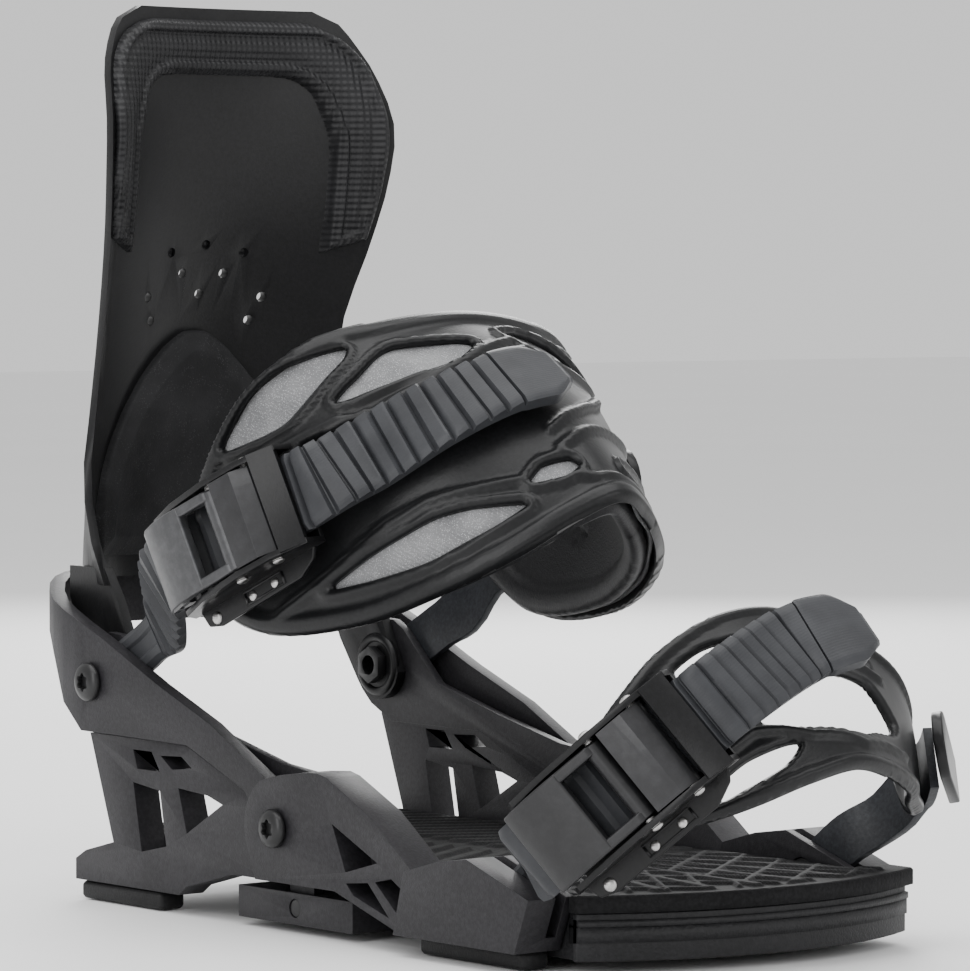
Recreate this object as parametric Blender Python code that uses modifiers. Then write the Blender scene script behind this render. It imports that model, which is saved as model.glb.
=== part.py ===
"""Strap-in snowboard binding with a rocking base, ratchet straps and a folding highback.

Metres, +Z up. The board's surface is Z = 0, the toes point to -Y and the heel to +Y. The outer side
of the foot, where the two buckles are, is -X. The origin is the centre of the mounting disc's underside.
"""

import math

import bmesh
import bpy
from mathutils import Matrix, Vector

# Fits
GAP = 0.0003  # between pieces that touch
PIN_GAP = 0.0001  # round a pin in its bore
LAYER_GAP = 0.0007  # between layers that follow the same curved face
ROCK_GAP = 0.0012  # between the rocking base and the fixed chassis
STEP = 0.0004  # keeps the faces of plates that are joined into one piece apart

# Side build-up, from the boot outwards
BOOT_HALF = 0.0450  # half the clear width between the highback's ears
WIDER = BOOT_HALF - 0.0450  # the straps' outlines are given for a half width of 45 mm
EAR = 0.0030  # highback wall
PANEL = 0.0027  # inner panel of the side rail
LADDER = 0.0024  # thickness of the strips that hold the straps
STRAP_SLOT = LADDER + 0.0010  # gap that takes the strap ends
CUP_WALL = 0.0043  # heelcup wall
TRUSS_SET_BACK = 0.0015  # truss face behind the heelcup's face
HUB_COVER = 0.0020  # hub cover in front of the heelcup's face
TOE_BLOCK_STEP = 0.0050  # toe block in front of the heelcup's face
EAR_OUT = BOOT_HALF + EAR
PANEL_IN = EAR_OUT + GAP
PANEL_OUT = PANEL_IN + PANEL
CUP_IN = PANEL_OUT + STRAP_SLOT
CUP_OUT = CUP_IN + CUP_WALL
TRUSS_OUT = CUP_OUT - TRUSS_SET_BACK
COVER_IN = CUP_OUT + GAP
HUB_OUT = CUP_OUT + HUB_COVER
BLOCK_OUT = CUP_OUT + TOE_BLOCK_STEP

# Heights over the board
BUSHING = 0.0050
FOOT_LOW = BUSHING + GAP
CHASSIS_LOW = 0.0020
CHASSIS_TOP = 0.0108
FLOOR_LOW = CHASSIS_TOP + ROCK_GAP
FLOOR = 0.0030
FOOTBED = 0.0048
FLOOR_TOP = FLOOR_LOW + FLOOR
FOOTBED_TOP = FLOOR_TOP + GAP + FOOTBED
RAMP_LOW = 0.0030
TREAD = 0.0045

# Mounting disc and chassis
DISC_RADIUS = 0.0400
DISC_HEIGHT = 0.0075
RING_WALL = 0.0060
CHASSIS_HALF_LENGTH = 0.0260
CHASSIS_SHIFT = -0.0060  # centre of the chassis arms along Y
SCREW_SPACING = 0.0400  # standard four-hole insert pattern
SCREW_SHANK = 0.0030
SCREW_HEAD = 0.0055
SCREW_HEAD_HEIGHT = 0.0034
KINGPIN = 0.0025
KINGPIN_HEIGHT = 0.0066
LUG_IN = PANEL_IN + 0.0022
LUG = 0.0030
CHASSIS_HALF_WIDTH = LUG_IN + LUG + 0.0025
LUG_HALF = 0.0055

# Lengths along the foot
HEEL_END = 0.0930
TOE_BLOCK_FRONT = -0.1161
RAMP_REAR = -0.0620
SUNK_HEAD = 0.0045
SUNK_DEPTH = 0.0016
BLOCK_SKIN = 0.0015
RAMP_FRONT = -0.1190  # at the outer end of its bowed front
RAMP_BULGE = 0.0150
RAMP_INNER_REACH = 0.0600
RAMP_FRONT_STEPS = 14
TREAD_OVERHANG = 0.0015
RAMP_FLARE = 0.0010  # wide part of the ramp beyond the toe block
CUP_REAR = 0.1400
CUP_TURN = 0.0930  # where the heelcup's hoop starts to turn
CUP_BAND_LOW = 0.0760
CUP_BAND_TOP = 0.0925
CUP_LOW_EDGE = [
    (-0.0110, 0.0225),
    (-0.0035, 0.0200),
    (0.0050, 0.0285),
    (0.0135, 0.0375),
    (0.0411, 0.0482),
    (0.0915, 0.0487),
    (0.1400, 0.0487),
]
CUP_TOP_EDGE = [
    (-0.0110, 0.0360),
    (-0.0035, 0.0385),
    (0.0057, 0.0425),
    (0.0137, 0.0467),
    (0.0299, 0.0548),
    (0.0552, 0.0643),
    (0.0824, 0.0758),
    (0.1056, 0.0845),
    (0.1400, 0.0900),
]

# Pivots, as (Y, Z)
ANKLE_PIVOT = (0.0880, 0.0630)
HUB_PIVOT = (-0.0035, 0.0287)
TOE_PIVOT = (-0.0970, 0.0165)
BOLT_HEAD = 0.0058
BOLT_SHANK = 0.0028
BOLT_HEAD_HEIGHT = 0.0026
NUT_RADIUS = 0.0056
NUT_HEIGHT = 0.0030

# Highback
BACK_TOP = 0.2580
BACK_WALL = 0.0032
CUSHION = 0.0045
HEEL_PAD = 0.0050

# Straps
WEB = 0.0026
TOE_WEB = 0.0032
LINER = 0.0056
LADDER_WIDTH = 0.0220
ROOT_WIDTH = 0.0140
ROOT_LENGTH = (0.026, 0.040)  # where a strip widens from its root
BUCKLE_WALL = 0.0016
BUCKLE_HALF_WIDTH = 0.0145
BUCKLE_BASE = 0.0014
PIN = 0.0016

OBJECT = "snowboard_binding"


def clear_scene():
    for obj in list(bpy.data.objects):
        bpy.data.objects.remove(obj, do_unlink=True)


def collection(name):
    made = bpy.data.collections.new(name)
    bpy.context.scene.collection.children.link(made)
    return made


def material(name, colour, roughness, metallic=0.0):
    made = bpy.data.materials.new(name)
    made.use_nodes = True
    shader = made.node_tree.nodes["Principled BSDF"]
    shader.inputs["Base Color"].default_value = (*colour, 1.0)
    shader.inputs["Roughness"].default_value = roughness
    shader.inputs["Metallic"].default_value = metallic
    return made


NYLON = ((0.030, 0.030, 0.034), 0.60)
SMOOTH_NYLON = ((0.022, 0.022, 0.025), 0.50)
FOAM = ((0.035, 0.035, 0.037), 0.85)
RUBBER = ((0.028, 0.028, 0.029), 0.75)
WEBBING = ((0.035, 0.036, 0.040), 0.40)
LADDER_BLUE = ((0.085, 0.095, 0.115), 0.45)
BLACK_METAL = ((0.030, 0.030, 0.032), 0.30, 0.8)
GREY_METAL = ((0.330, 0.330, 0.350), 0.40, 0.9)
STEEL = ((0.560, 0.560, 0.580), 0.30, 1.0)


def finish(name, mesh, look, smooth_angle=35):
    """The named part: an object in the parts collection with a material of its own."""
    mesh.name = name
    mesh.materials.clear()
    mesh.materials.append(material(name, *look))
    mesh.shade_smooth()
    mesh.set_sharp_from_angle(angle=math.radians(smooth_angle))
    obj = bpy.data.objects.new(name, mesh)
    PARTS.objects.link(obj)
    return obj


def place(obj, matrix):
    obj.matrix_world = matrix
    return obj


def origin_at(obj, point):
    """Moves the object's origin to the point, on the axis that it turns about."""
    obj.data.transform(Matrix.Translation(-Vector(point)))
    obj.location = point
    return obj


def closed_mesh(work):
    """The mesh of a bmesh, its faces turned to point out."""
    bmesh.ops.recalc_face_normals(work, faces=work.faces)
    if work.calc_volume(signed=True) < 0:
        bmesh.ops.reverse_faces(work, faces=work.faces)
    made = bpy.data.meshes.new("work")
    work.to_mesh(made)
    work.free()
    return made


def mesh_from(build):
    work = bmesh.new()
    build(work)
    return closed_mesh(work)


def evaluated_mesh(obj):
    """The object's mesh with its modifiers applied; the object itself is removed."""
    bpy.context.view_layer.update()
    graph = bpy.context.evaluated_depsgraph_get()
    made = bpy.data.meshes.new_from_object(obj.evaluated_get(graph))
    made.transform(obj.matrix_world)
    bpy.data.objects.remove(obj, do_unlink=True)
    return made


def prism(outlines, low, high, turn=None):
    """A plate between two heights from flat outlines, the inner ones being holes, then turned into place."""
    curve = bpy.data.curves.new("outline", "CURVE")
    curve.dimensions = "2D"
    curve.fill_mode = "BOTH"
    curve.extrude = (high - low) / 2
    for outline in outlines:
        spline = curve.splines.new("POLY")
        spline.points.add(len(outline) - 1)
        spline.use_cyclic_u = True
        for point, (across, up) in zip(spline.points, outline):
            point.co = (across, up, 0, 1)
    obj = bpy.data.objects.new("outline", curve)
    bpy.context.scene.collection.objects.link(obj)
    made = evaluated_mesh(obj)
    bpy.data.curves.remove(curve)
    work = bmesh.new()
    work.from_mesh(made)
    bmesh.ops.remove_doubles(work, verts=work.verts, dist=1e-6)
    work.transform(Matrix.Translation((0, 0, (low + high) / 2)))
    if turn is not None:
        work.transform(turn)
    return closed_mesh(work)


# Turns an outline's (x, y, height) into (Y, Z, X).
SIDEWAYS = Matrix(((0, 0, 1, 0), (1, 0, 0, 0), (0, 1, 0, 0), (0, 0, 0, 1)))


def side_plate(outlines, inner, outer):
    """A plate in the right-hand side wall, between two distances from the middle."""
    return prism(outlines, inner, outer, SIDEWAYS)


def cylinder(radius, low, high, centre=(0, 0), segments=24, top_radius=None, turn=None):
    def build(work):
        bmesh.ops.create_cone(
            work,
            cap_ends=True,
            segments=segments,
            radius1=radius,
            radius2=radius if top_radius is None else top_radius,
            depth=high - low,
            matrix=Matrix.Translation((*centre, (low + high) / 2)),
        )
        if turn is not None:
            work.transform(turn)

    return mesh_from(build)


def box(low, high):
    def build(work):
        bmesh.ops.create_cube(work, size=1.0)
        size = Vector(high) - Vector(low)
        work.transform(Matrix.Translation((Vector(low) + Vector(high)) / 2) @ Matrix.Diagonal((*size, 1)))

    return mesh_from(build)


def combine(base, operation, others):
    """The base mesh united with the others, or with the others cut away."""
    obj = bpy.data.objects.new("base", base)
    bpy.context.scene.collection.objects.link(obj)
    helpers = []
    for other in others:
        helper = bpy.data.objects.new("cutter", other)
        helper.hide_render = True
        helper.display_type = "WIRE"
        CUTTERS.objects.link(helper)
        helpers.append(helper)
        modifier = obj.modifiers.new("combine", "BOOLEAN")
        modifier.operation = operation
        modifier.solver = "EXACT"
        modifier.object = helper
    made = evaluated_mesh(obj)
    for helper in helpers:
        bpy.data.objects.remove(helper, do_unlink=True)
    return made


def rounded(mesh, width, segments=2, angle=30):
    """The mesh with its sharper edges rounded."""
    obj = bpy.data.objects.new("rounded", mesh)
    bpy.context.scene.collection.objects.link(obj)
    modifier = obj.modifiers.new("round", "BEVEL")
    modifier.width = width
    modifier.segments = segments
    modifier.limit_method = "ANGLE"
    modifier.angle_limit = math.radians(angle)
    return evaluated_mesh(obj)


def mirrored(mesh):
    """A mirror image in the middle plane."""
    work = bmesh.new()
    work.from_mesh(mesh)
    bmesh.ops.scale(work, vec=(-1, 1, 1), verts=work.verts)
    return closed_mesh(work)


def both_sides(name, mesh, look):
    """The right-hand piece and its mirror image on the left."""
    left = finish(name + "_left", mirrored(mesh), look)
    right = finish(name + "_right", mesh, look)
    return left, right


def loft(rings):
    """A closed body through rings of equally many points, with a face at each end."""

    def build(work):
        rows = [[work.verts.new(point) for point in ring] for ring in rings]
        count = len(rows[0])
        for row, after in zip(rows, rows[1:]):
            for i in range(count):
                j = (i + 1) % count
                work.faces.new((row[i], row[j], after[j], after[i]))
        work.faces.new(rows[0])
        work.faces.new(reversed(rows[-1]))

    return mesh_from(build)


def smooth_path(points, steps):
    """Points along a smooth curve through the given ones, which may be near together or far apart."""
    ends = [points[0] * 2 - points[1], *points, points[-1] * 2 - points[-2]]
    path = []
    for a, b, c, d in zip(ends, ends[1:], ends[2:], ends[3:]):
        before, here, after = math.sqrt((b - a).length), math.sqrt((c - b).length), math.sqrt((d - c).length)
        leave = c - b + ((b - a) / before - (c - a) / (before + here)) * here
        arrive = c - b + ((d - c) / after - (d - b) / (here + after)) * here
        for i in range(steps):
            t = i / steps
            curve = b + (c - b) * t**2 * (3 - 2 * t)
            path.append(curve + leave * t * (1 - t) ** 2 - arrive * t**2 * (1 - t))
    return [*path, points[-1]]


def open_shell(points, keep, thickness, side):
    """A sheet over a grid of points, without the cells that keep(row, column) leaves out, made thick."""

    def build(work):
        grid = [[work.verts.new(point) for point in row] for row in points]
        for i, (row, after) in enumerate(zip(grid, grid[1:])):
            for j in range(len(row) - 1):
                if keep(i, j):
                    work.faces.new((row[j], after[j], after[j + 1], row[j + 1]))
        unused = [vert for vert in work.verts if not vert.link_faces]
        bmesh.ops.delete(work, geom=unused, context="VERTS")

    work = bmesh.new()
    build(work)
    sheet = bpy.data.meshes.new("sheet")
    work.to_mesh(sheet)
    work.free()
    obj = bpy.data.objects.new("sheet", sheet)
    bpy.context.scene.collection.objects.link(obj)
    modifier = obj.modifiers.new("thickness", "SOLIDIFY")
    modifier.thickness = thickness
    modifier.offset = side
    modifier.use_even_offset = True
    made = evaluated_mesh(obj)
    work = bmesh.new()
    work.from_mesh(made)
    return closed_mesh(work)


def arc(centre, radius, start, end, count):
    """Points on an arc, its angles in degrees from the first axis."""
    angles = [math.radians(start + (end - start) * i / count) for i in range(count + 1)]
    return [(centre[0] + radius * math.cos(a), centre[1] + radius * math.sin(a)) for a in angles]


def ease(value, low, high):
    """0 below the low value, 1 above the high one, and smooth between them."""
    t = min(max((value - low) / (high - low), 0), 1)
    return t * t * (3 - 2 * t)


# ---------------------------------------------------------------- base


def mounting_disc():
    disc = rounded(cylinder(DISC_RADIUS, 0, DISC_HEIGHT, segments=64), 0.0008, 1)
    cuts = []
    for x, y in screw_places():
        cuts.append(cylinder(SCREW_SHANK + GAP, -GAP, DISC_HEIGHT + GAP, (x, y)))
        cuts.append(cylinder(SCREW_HEAD + GAP, DISC_HEIGHT - SCREW_HEAD_HEIGHT - GAP, 0.02, (x, y)))
    finish("mounting_disc", combine(disc, "DIFFERENCE", cuts), NYLON)


def screw_places():
    half = SCREW_SPACING / 2
    return [(x, y) for x in (-half, half) for y in (-half, half)]


def disc_screws():
    for number, (x, y) in enumerate(screw_places(), 1):
        shank = cylinder(SCREW_SHANK, GAP, DISC_HEIGHT - SCREW_HEAD_HEIGHT + GAP, (x, y), 16)
        head = cylinder(SCREW_HEAD, DISC_HEIGHT - SCREW_HEAD_HEIGHT, DISC_HEIGHT - GAP, (x, y))
        socket = cylinder(0.0022, DISC_HEIGHT - 0.0022, 0.02, (x, y), 6)
        screw = combine(combine(head, "UNION", [shank]), "DIFFERENCE", [socket])
        finish(f"disc_screw_{number}", screw, BLACK_METAL)


def chassis():
    """The fixed centre: a ring round the disc with an arm to each side, where the base rocks on a pin."""
    ring_radius = DISC_RADIUS + GAP + RING_WALL
    arm_low = CHASSIS_SHIFT - CHASSIS_HALF_LENGTH
    arm_high = CHASSIS_SHIFT + CHASSIS_HALF_LENGTH
    ring = cylinder(ring_radius, CHASSIS_LOW, CHASSIS_TOP, segments=64)
    arms = box((-CHASSIS_HALF_WIDTH, arm_low, CHASSIS_LOW), (CHASSIS_HALF_WIDTH, arm_high, CHASSIS_TOP))
    body = combine(arms, "UNION", [ring])
    cuts = [cylinder(DISC_RADIUS + GAP, -0.01, 0.03, segments=64)]
    for side in (-1, 1):
        inner, outer = LUG_IN - ROCK_GAP, LUG_IN + LUG + ROCK_GAP
        half = LUG_HALF + ROCK_GAP
        edges = sorted((side * inner, side * outer))
        cuts.append(box((edges[0], CHASSIS_SHIFT - half, -0.01), (edges[1], CHASSIS_SHIFT + half, 0.03)))
    across = SIDEWAYS @ Matrix.Translation((CHASSIS_SHIFT, KINGPIN_HEIGHT, 0))
    for low, high in ((DISC_RADIUS, 0.08), (-0.08, -DISC_RADIUS)):
        cuts.append(cylinder(KINGPIN + PIN_GAP, low, high, turn=across))
    finish("chassis", combine(body, "DIFFERENCE", cuts), NYLON)


def kingpins():
    across = SIDEWAYS @ Matrix.Translation((CHASSIS_SHIFT, KINGPIN_HEIGHT, 0))
    pin = cylinder(KINGPIN, DISC_RADIUS + 0.004, CHASSIS_HALF_WIDTH - GAP, turn=across)
    both_sides("kingpin", pin, STEEL)


def bushings():
    """Rubber blocks under the four corners of the base, which it rocks against."""
    for end, low, high in (("heel", 0.0560, 0.0955), ("toe", -0.1065, -0.0625)):
        block = rounded(box((PANEL_IN, low, 0), (TRUSS_OUT, high, BUSHING)), 0.0012, 2)
        both_sides(f"bushing_{end}", block, RUBBER)


def base_floor():
    half = PANEL_IN - GAP
    outline = [(-half, RAMP_REAR), (half, RAMP_REAR), (half, HEEL_END - 0.012)]
    outline += arc((half - 0.012, HEEL_END - 0.012), 0.012, 0, 90, 4)[1:]
    outline += arc((0.012 - half, HEEL_END - 0.012), 0.012, 90, 180, 4)
    hole = arc((0, 0), DISC_RADIUS + 0.003, 0, 360, 48)[:-1]
    finish("base_floor", prism([outline, hole], FLOOR_LOW, FLOOR_TOP), NYLON)


def footbed():
    half = PANEL_IN - 2 * GAP
    turn = 0.012
    outline = [(-half, RAMP_REAR), (half, RAMP_REAR)]
    outline += arc((half - turn, HEEL_END - turn), turn, 0, 90, 5)
    outline += arc((turn - half, HEEL_END - turn), turn, 90, 180, 5)
    bed = prism([outline], FLOOR_TOP + GAP, FOOTBED_TOP)
    finish("footbed", rounded(bed, 0.0010, 1, 60), FOAM)


def truss_outline():
    """Side truss under the heelcup: heel foot, raked post, top chord under the cup, and the hub."""
    return [
        (0.0980, FOOT_LOW),
        (0.0980, 0.0113),
        (0.0930, 0.0140),
        (0.0790, 0.0175),
        (0.0905, 0.0482),
        (0.0430, 0.0480),
        (0.0135, 0.0390),
        (0.0060, 0.0400),
        (-0.0200, 0.0400),
        (-0.0200, 0.0135),
        (0.0214, 0.0135),
        (0.0430, 0.0080),
        (0.0470, FOOT_LOW),
    ]


def truss_openings():
    high = [(0.0690, 0.0448), (0.0600, 0.0448), (0.0560, 0.0395), (0.0670, 0.0395)]
    middle = [(0.0555, 0.0440), (0.0455, 0.0445), (0.0405, 0.0415), (0.0500, 0.0405)]
    low = [(0.0690, 0.0355), (0.0560, 0.0340), (0.0530, 0.0185), (0.0650, 0.0160)]
    front = [(0.0470, 0.0355), (0.0330, 0.0345), (0.0260, 0.0325), (0.0430, 0.0230)]
    return [high, middle, low, front]


def panel_outline():
    """Inner panel: it backs the strap slot and carries the ankle bolt in a round boss."""
    y, z = ANKLE_PIVOT
    boss = arc((y, z), 0.0140, -60, 130, 8)
    low = [(-0.0250, 0.0250), (0.0140, 0.0330), (0.0430, 0.0460), (0.0850, 0.0460)]
    return [*low, *boss, (0.0627, 0.0587), (0.0340, 0.0513), (0.0060, 0.0450), (-0.0250, 0.0420)]


def front_rail_outline():
    """Hub and front rail, outside: round at the hub, falling to the toe block."""
    y, z = HUB_PIVOT
    return [
        *arc((y, z), 0.0145, -20, 60, 5),
        (-0.0056, 0.0435),
        (-0.0134, 0.0446),
        (-0.0223, 0.0452),
        (-0.0264, 0.0443),
        (-0.0445, 0.0361),
        (-0.0645, 0.0220),
        (-0.0720, 0.0200),
        (-0.0720, FOOT_LOW + STEP),
        (-0.0570, FOOT_LOW + STEP),
        (-0.0380, 0.0115),
        (-0.0300, 0.0135 + STEP),
        (0.0060, 0.0135 + STEP),
    ]


def front_rail_pockets():
    upper = [(-0.0290, 0.0320), (-0.0350, 0.0195), (-0.0490, 0.0232)]
    lower = [(-0.0352, 0.0165), (-0.0448, 0.0175), (-0.0540, 0.0090), (-0.0385, 0.0135)]
    front = [(-0.0480, 0.0180), (-0.0550, 0.0195), (-0.0615, 0.0160), (-0.0580, 0.0100)]
    return [upper, lower, front]


def toe_block_outline():
    return [
        (-0.0595, FOOT_LOW),
        (-0.0640, 0.0225),
        (-0.0780, 0.0264),
        (-0.0906, 0.0282),
        (TOE_BLOCK_FRONT, 0.0198),
        (TOE_BLOCK_FRONT + 0.0057, FOOT_LOW),
    ]


def cup_tongue_cut():
    """Room for the heelcup's front end, under the hub cover and along the strap slot."""
    return [
        (-0.0125, 0.0195),
        (-0.0035, 0.0195),
        (0.0050, 0.0275),
        (0.0135, 0.0365),
        (0.0410, 0.0470),
        (0.0410, 0.0600),
        (-0.0125, 0.0600),
    ]


def across_hole(centre, radius, low=0.030, high=0.080, segments=20):
    return cylinder(radius, low, high, segments=segments, turn=SIDEWAYS @ Matrix.Translation((*centre, 0)))


def side_rails():
    truss = side_plate([truss_outline(), *truss_openings()], PANEL_IN + STEP, TRUSS_OUT)
    panel = side_plate([panel_outline()], PANEL_IN, PANEL_OUT)
    front = side_plate([front_rail_outline()], PANEL_IN + 2 * STEP, HUB_OUT)
    block = side_plate([toe_block_outline()], PANEL_IN, BLOCK_OUT)
    lug_top = 0.0170
    lug = box(
        (LUG_IN, CHASSIS_SHIFT - LUG_HALF, CHASSIS_LOW + 0.0008),
        (LUG_IN + LUG, CHASSIS_SHIFT + LUG_HALF, lug_top),
    )
    body = combine(truss, "UNION", [front, panel, block, lug])
    pockets = [side_plate([pocket], PANEL_OUT, 0.08) for pocket in front_rail_pockets()]
    tongue = side_plate([cup_tongue_cut()], CUP_IN - GAP, COVER_IN)
    slot_low, slot_high = PANEL_OUT, PANEL_OUT + STRAP_SLOT
    toe_y, toe_z = TOE_PIVOT
    slot = box((slot_low, TOE_BLOCK_FRONT - 0.01, toe_z - 0.0075), (slot_high, toe_y + 0.0125, 0.06))
    holes = [
        across_hole(ANKLE_PIVOT, BOLT_SHANK + PIN_GAP),
        across_hole(HUB_PIVOT, BOLT_SHANK + PIN_GAP),
        across_hole(TOE_PIVOT, BOLT_SHANK + PIN_GAP, 0.030, BLOCK_OUT - BLOCK_SKIN),
        across_hole(TOE_PIVOT, SUNK_HEAD + GAP, 0.030, PANEL_IN + SUNK_DEPTH),
        across_hole((CHASSIS_SHIFT, KINGPIN_HEIGHT), KINGPIN + PIN_GAP),
    ]
    body = combine(body, "DIFFERENCE", [*pockets, tongue, slot, *holes])
    both_sides("side_rail", body, NYLON)


def cup_profile(y, turn):
    """Lower and upper edge of the heelcup along the foot; turn runs from 0 at the side to 1 at the rear."""
    low = along(CUP_LOW_EDGE, y)
    top = along(CUP_TOP_EDGE, y)
    lift = ease(turn, 0.0, 0.45)
    return low + (CUP_BAND_LOW - low) * lift, top + (CUP_BAND_TOP - top) * ease(turn, 0.2, 1.0)


def along(points, place_at):
    """Height of a broken line at a place."""
    for (y0, z0), (y1, z1) in zip(points, points[1:]):
        if place_at <= y1:
            return z0 + (z1 - z0) * (place_at - y0) / (y1 - y0)
    return points[-1][1]


def cup_path(offset):
    """Plan of the heelcup's wall, from the right-hand hub round the heel to the left one."""
    half = CUP_IN + CUP_WALL / 2 + offset
    depth = CUP_REAR - CUP_TURN - CUP_WALL / 2 + offset
    straight = [-0.0110, -0.0075, -0.0035, 0.0010, 0.0057, 0.0137, 0.0299, 0.0411, 0.0552, 0.0700, 0.0824]
    points = [(half, y, 0.0) for y in straight]
    bends = 20
    for i in range(bends + 1):
        angle = math.pi * i / bends
        power = 0.85
        x = half * math.copysign(abs(math.cos(angle)) ** power, math.cos(angle))
        y = CUP_TURN + depth * math.sin(angle) ** power
        points.append((x, y, math.sin(angle)))
    return points + [(-half, y, 0.0) for y in reversed(straight)]


def heelcup():
    rings = []
    for (xi, yi, turn), (xo, yo, _) in zip(cup_path(-CUP_WALL / 2), cup_path(CUP_WALL / 2)):
        low, top = cup_profile(yi, turn)
        rings.append([(xi, yi, low), (xo, yo, low), (xo, yo, top), (xi, yi, top)])
    body = loft(rings)
    holes = []
    for pivot in (ANKLE_PIVOT, HUB_PIVOT):
        holes.append(across_hole(pivot, BOLT_SHANK + PIN_GAP))
        holes.append(across_hole(pivot, BOLT_SHANK + PIN_GAP, -0.080, -0.030))
    finish("heelcup", combine(body, "DIFFERENCE", holes), NYLON)


def bolt(pivot, inner, face):
    """A button-head screw along X: shank from the inner end to the face, head outside it, hexagon socket."""
    turn = SIDEWAYS @ Matrix.Translation((*pivot, 0))
    shank = cylinder(BOLT_SHANK, inner, face + 0.001, segments=20, turn=turn)
    low = face + GAP
    top = BOLT_HEAD * 0.8
    head = cylinder(BOLT_HEAD, low, low + BOLT_HEAD_HEIGHT, segments=24, top_radius=top, turn=turn)
    socket = cylinder(0.0020, face + 0.0012, face + 0.02, segments=6, turn=turn)
    return combine(combine(head, "UNION", [shank]), "DIFFERENCE", [socket])


def nut(pivot, inner, shank_gap=PIN_GAP):
    turn = SIDEWAYS @ Matrix.Translation((*pivot, 0))
    body = cylinder(NUT_RADIUS, inner, inner + NUT_HEIGHT, segments=6, turn=turn)
    hole = across_hole(pivot, BOLT_SHANK + shank_gap)
    return combine(body, "DIFFERENCE", [hole])


def sunk_bolt(pivot):
    """A flat-head screw put in from the boot's side, level with the panel and blind in the toe block."""
    turn = SIDEWAYS @ Matrix.Translation((*pivot, 0))
    face = PANEL_IN + GAP
    head = cylinder(SUNK_HEAD, face, face + SUNK_DEPTH - 2 * GAP, segments=24, turn=turn)
    shank = cylinder(BOLT_SHANK, face + STEP, BLOCK_OUT - BLOCK_SKIN - GAP, segments=20, turn=turn)
    socket = cylinder(0.0020, PANEL_IN - 0.01, face + SUNK_DEPTH / 2, segments=6, turn=turn)
    return combine(combine(head, "UNION", [shank]), "DIFFERENCE", [socket])


def fasteners():
    nut_inner = BOOT_HALF - GAP - NUT_HEIGHT
    both_sides("ankle_bolt", bolt(ANKLE_PIVOT, nut_inner + 0.0005, CUP_OUT), BLACK_METAL)
    both_sides("ankle_nut", nut(ANKLE_PIVOT, nut_inner), BLACK_METAL)
    hub_nut_inner = PANEL_IN - GAP - NUT_HEIGHT * 0.6
    both_sides("hub_screw", bolt(HUB_PIVOT, hub_nut_inner, HUB_OUT), BLACK_METAL)
    both_sides("hub_nut", nut(HUB_PIVOT, PANEL_IN - GAP - NUT_HEIGHT), BLACK_METAL)
    both_sides("toe_bolt", sunk_bolt(TOE_PIVOT), BLACK_METAL)


def ramp_outline(overhang):
    """Plan of the ramp: narrow between the toe blocks, with a bowed front that reaches further inward."""
    narrow = PANEL_IN - 2 * GAP
    wide_rear = TOE_BLOCK_FRONT - RAMP_FLARE
    outer_end, inner_end = -(narrow + 0.0020 + overhang), RAMP_INNER_REACH + overhang
    front = []
    for i in range(RAMP_FRONT_STEPS + 1):
        share = i / RAMP_FRONT_STEPS
        x = outer_end + (inner_end - outer_end) * share
        bow = RAMP_BULGE * (1 - abs(2 * share - 1) ** 2.2)
        front.append((x, RAMP_FRONT - 0.0070 * share - bow - overhang))
    rear = RAMP_REAR - GAP
    tongue = [(narrow, wide_rear), (narrow, rear), (-narrow, rear), (-narrow, wide_rear)]
    return [*front, (inner_end, wide_rear), *tongue, (outer_end, wide_rear)]


def toe_ramp():
    """Sliding ramp between and in front of the toe blocks, with its rubber tread."""
    block = prism([ramp_outline(0)], RAMP_LOW, FOOTBED_TOP - TREAD)
    finish("toe_ramp", rounded(block, 0.0008, 1, 50), RUBBER)
    tread = prism([ramp_outline(TREAD_OVERHANG)], FOOTBED_TOP - TREAD + GAP, FOOTBED_TOP + GAP)
    finish("toe_tread", rounded(tread, 0.0008, 1, 50), RUBBER)


# ---------------------------------------------------------------- highback

# Height, half width, front edge and centre of the inner face along Y, from the ears to the top.
BACK_SECTIONS = [
    (0.0500, BOOT_HALF + EAR / 2, 0.0830, 0.1270),
    (0.0630, BOOT_HALF + EAR / 2, 0.0760, 0.1290),
    (0.0780, BOOT_HALF + EAR / 2, 0.0860, 0.1300),
    (0.0900, BOOT_HALF + EAR / 2, 0.0940, 0.1300),
    (0.1030, 0.0465, 0.1010, 0.1290),
    (0.1200, 0.0460, 0.1060, 0.1265),
    (0.1400, 0.0440, 0.1060, 0.1235),
    (0.1650, 0.0435, 0.1025, 0.1185),
    (0.1900, 0.0475, 0.0935, 0.1120),
    (0.2100, 0.0505, 0.0880, 0.1085),
    (0.2250, 0.0510, 0.0870, 0.1065),
    (0.2400, 0.0480, 0.0925, 0.1052),
    (0.2500, 0.0430, 0.0970, 0.1048),
    (0.2550, 0.0385, 0.0990, 0.1046),
    (BACK_TOP, 0.0310, 0.1010, 0.1045),
]
BACK_ACROSS = 12
BACK_ROWS = 22


def back_section(height):
    """Half width, front edge and centre line of the highback at a height, smooth between the given rows."""
    last = max(i for i in range(len(BACK_SECTIONS) - 1) if BACK_SECTIONS[i][0] <= height + 1e-9)
    rows = [BACK_SECTIONS[min(max(i, 0), len(BACK_SECTIONS) - 1)] for i in range(last - 1, last + 3)]
    t = (height - rows[1][0]) / (rows[2][0] - rows[1][0])
    found = []
    for a, b, c, d in zip(*(row[1:] for row in rows)):
        pull = (c - a) * t + (a * 2 - b * 5 + c * 4 - d) * t**2 + (b * 3 - a - c * 3 + d) * t**3
        found.append(b + pull / 2)
    return found


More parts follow.
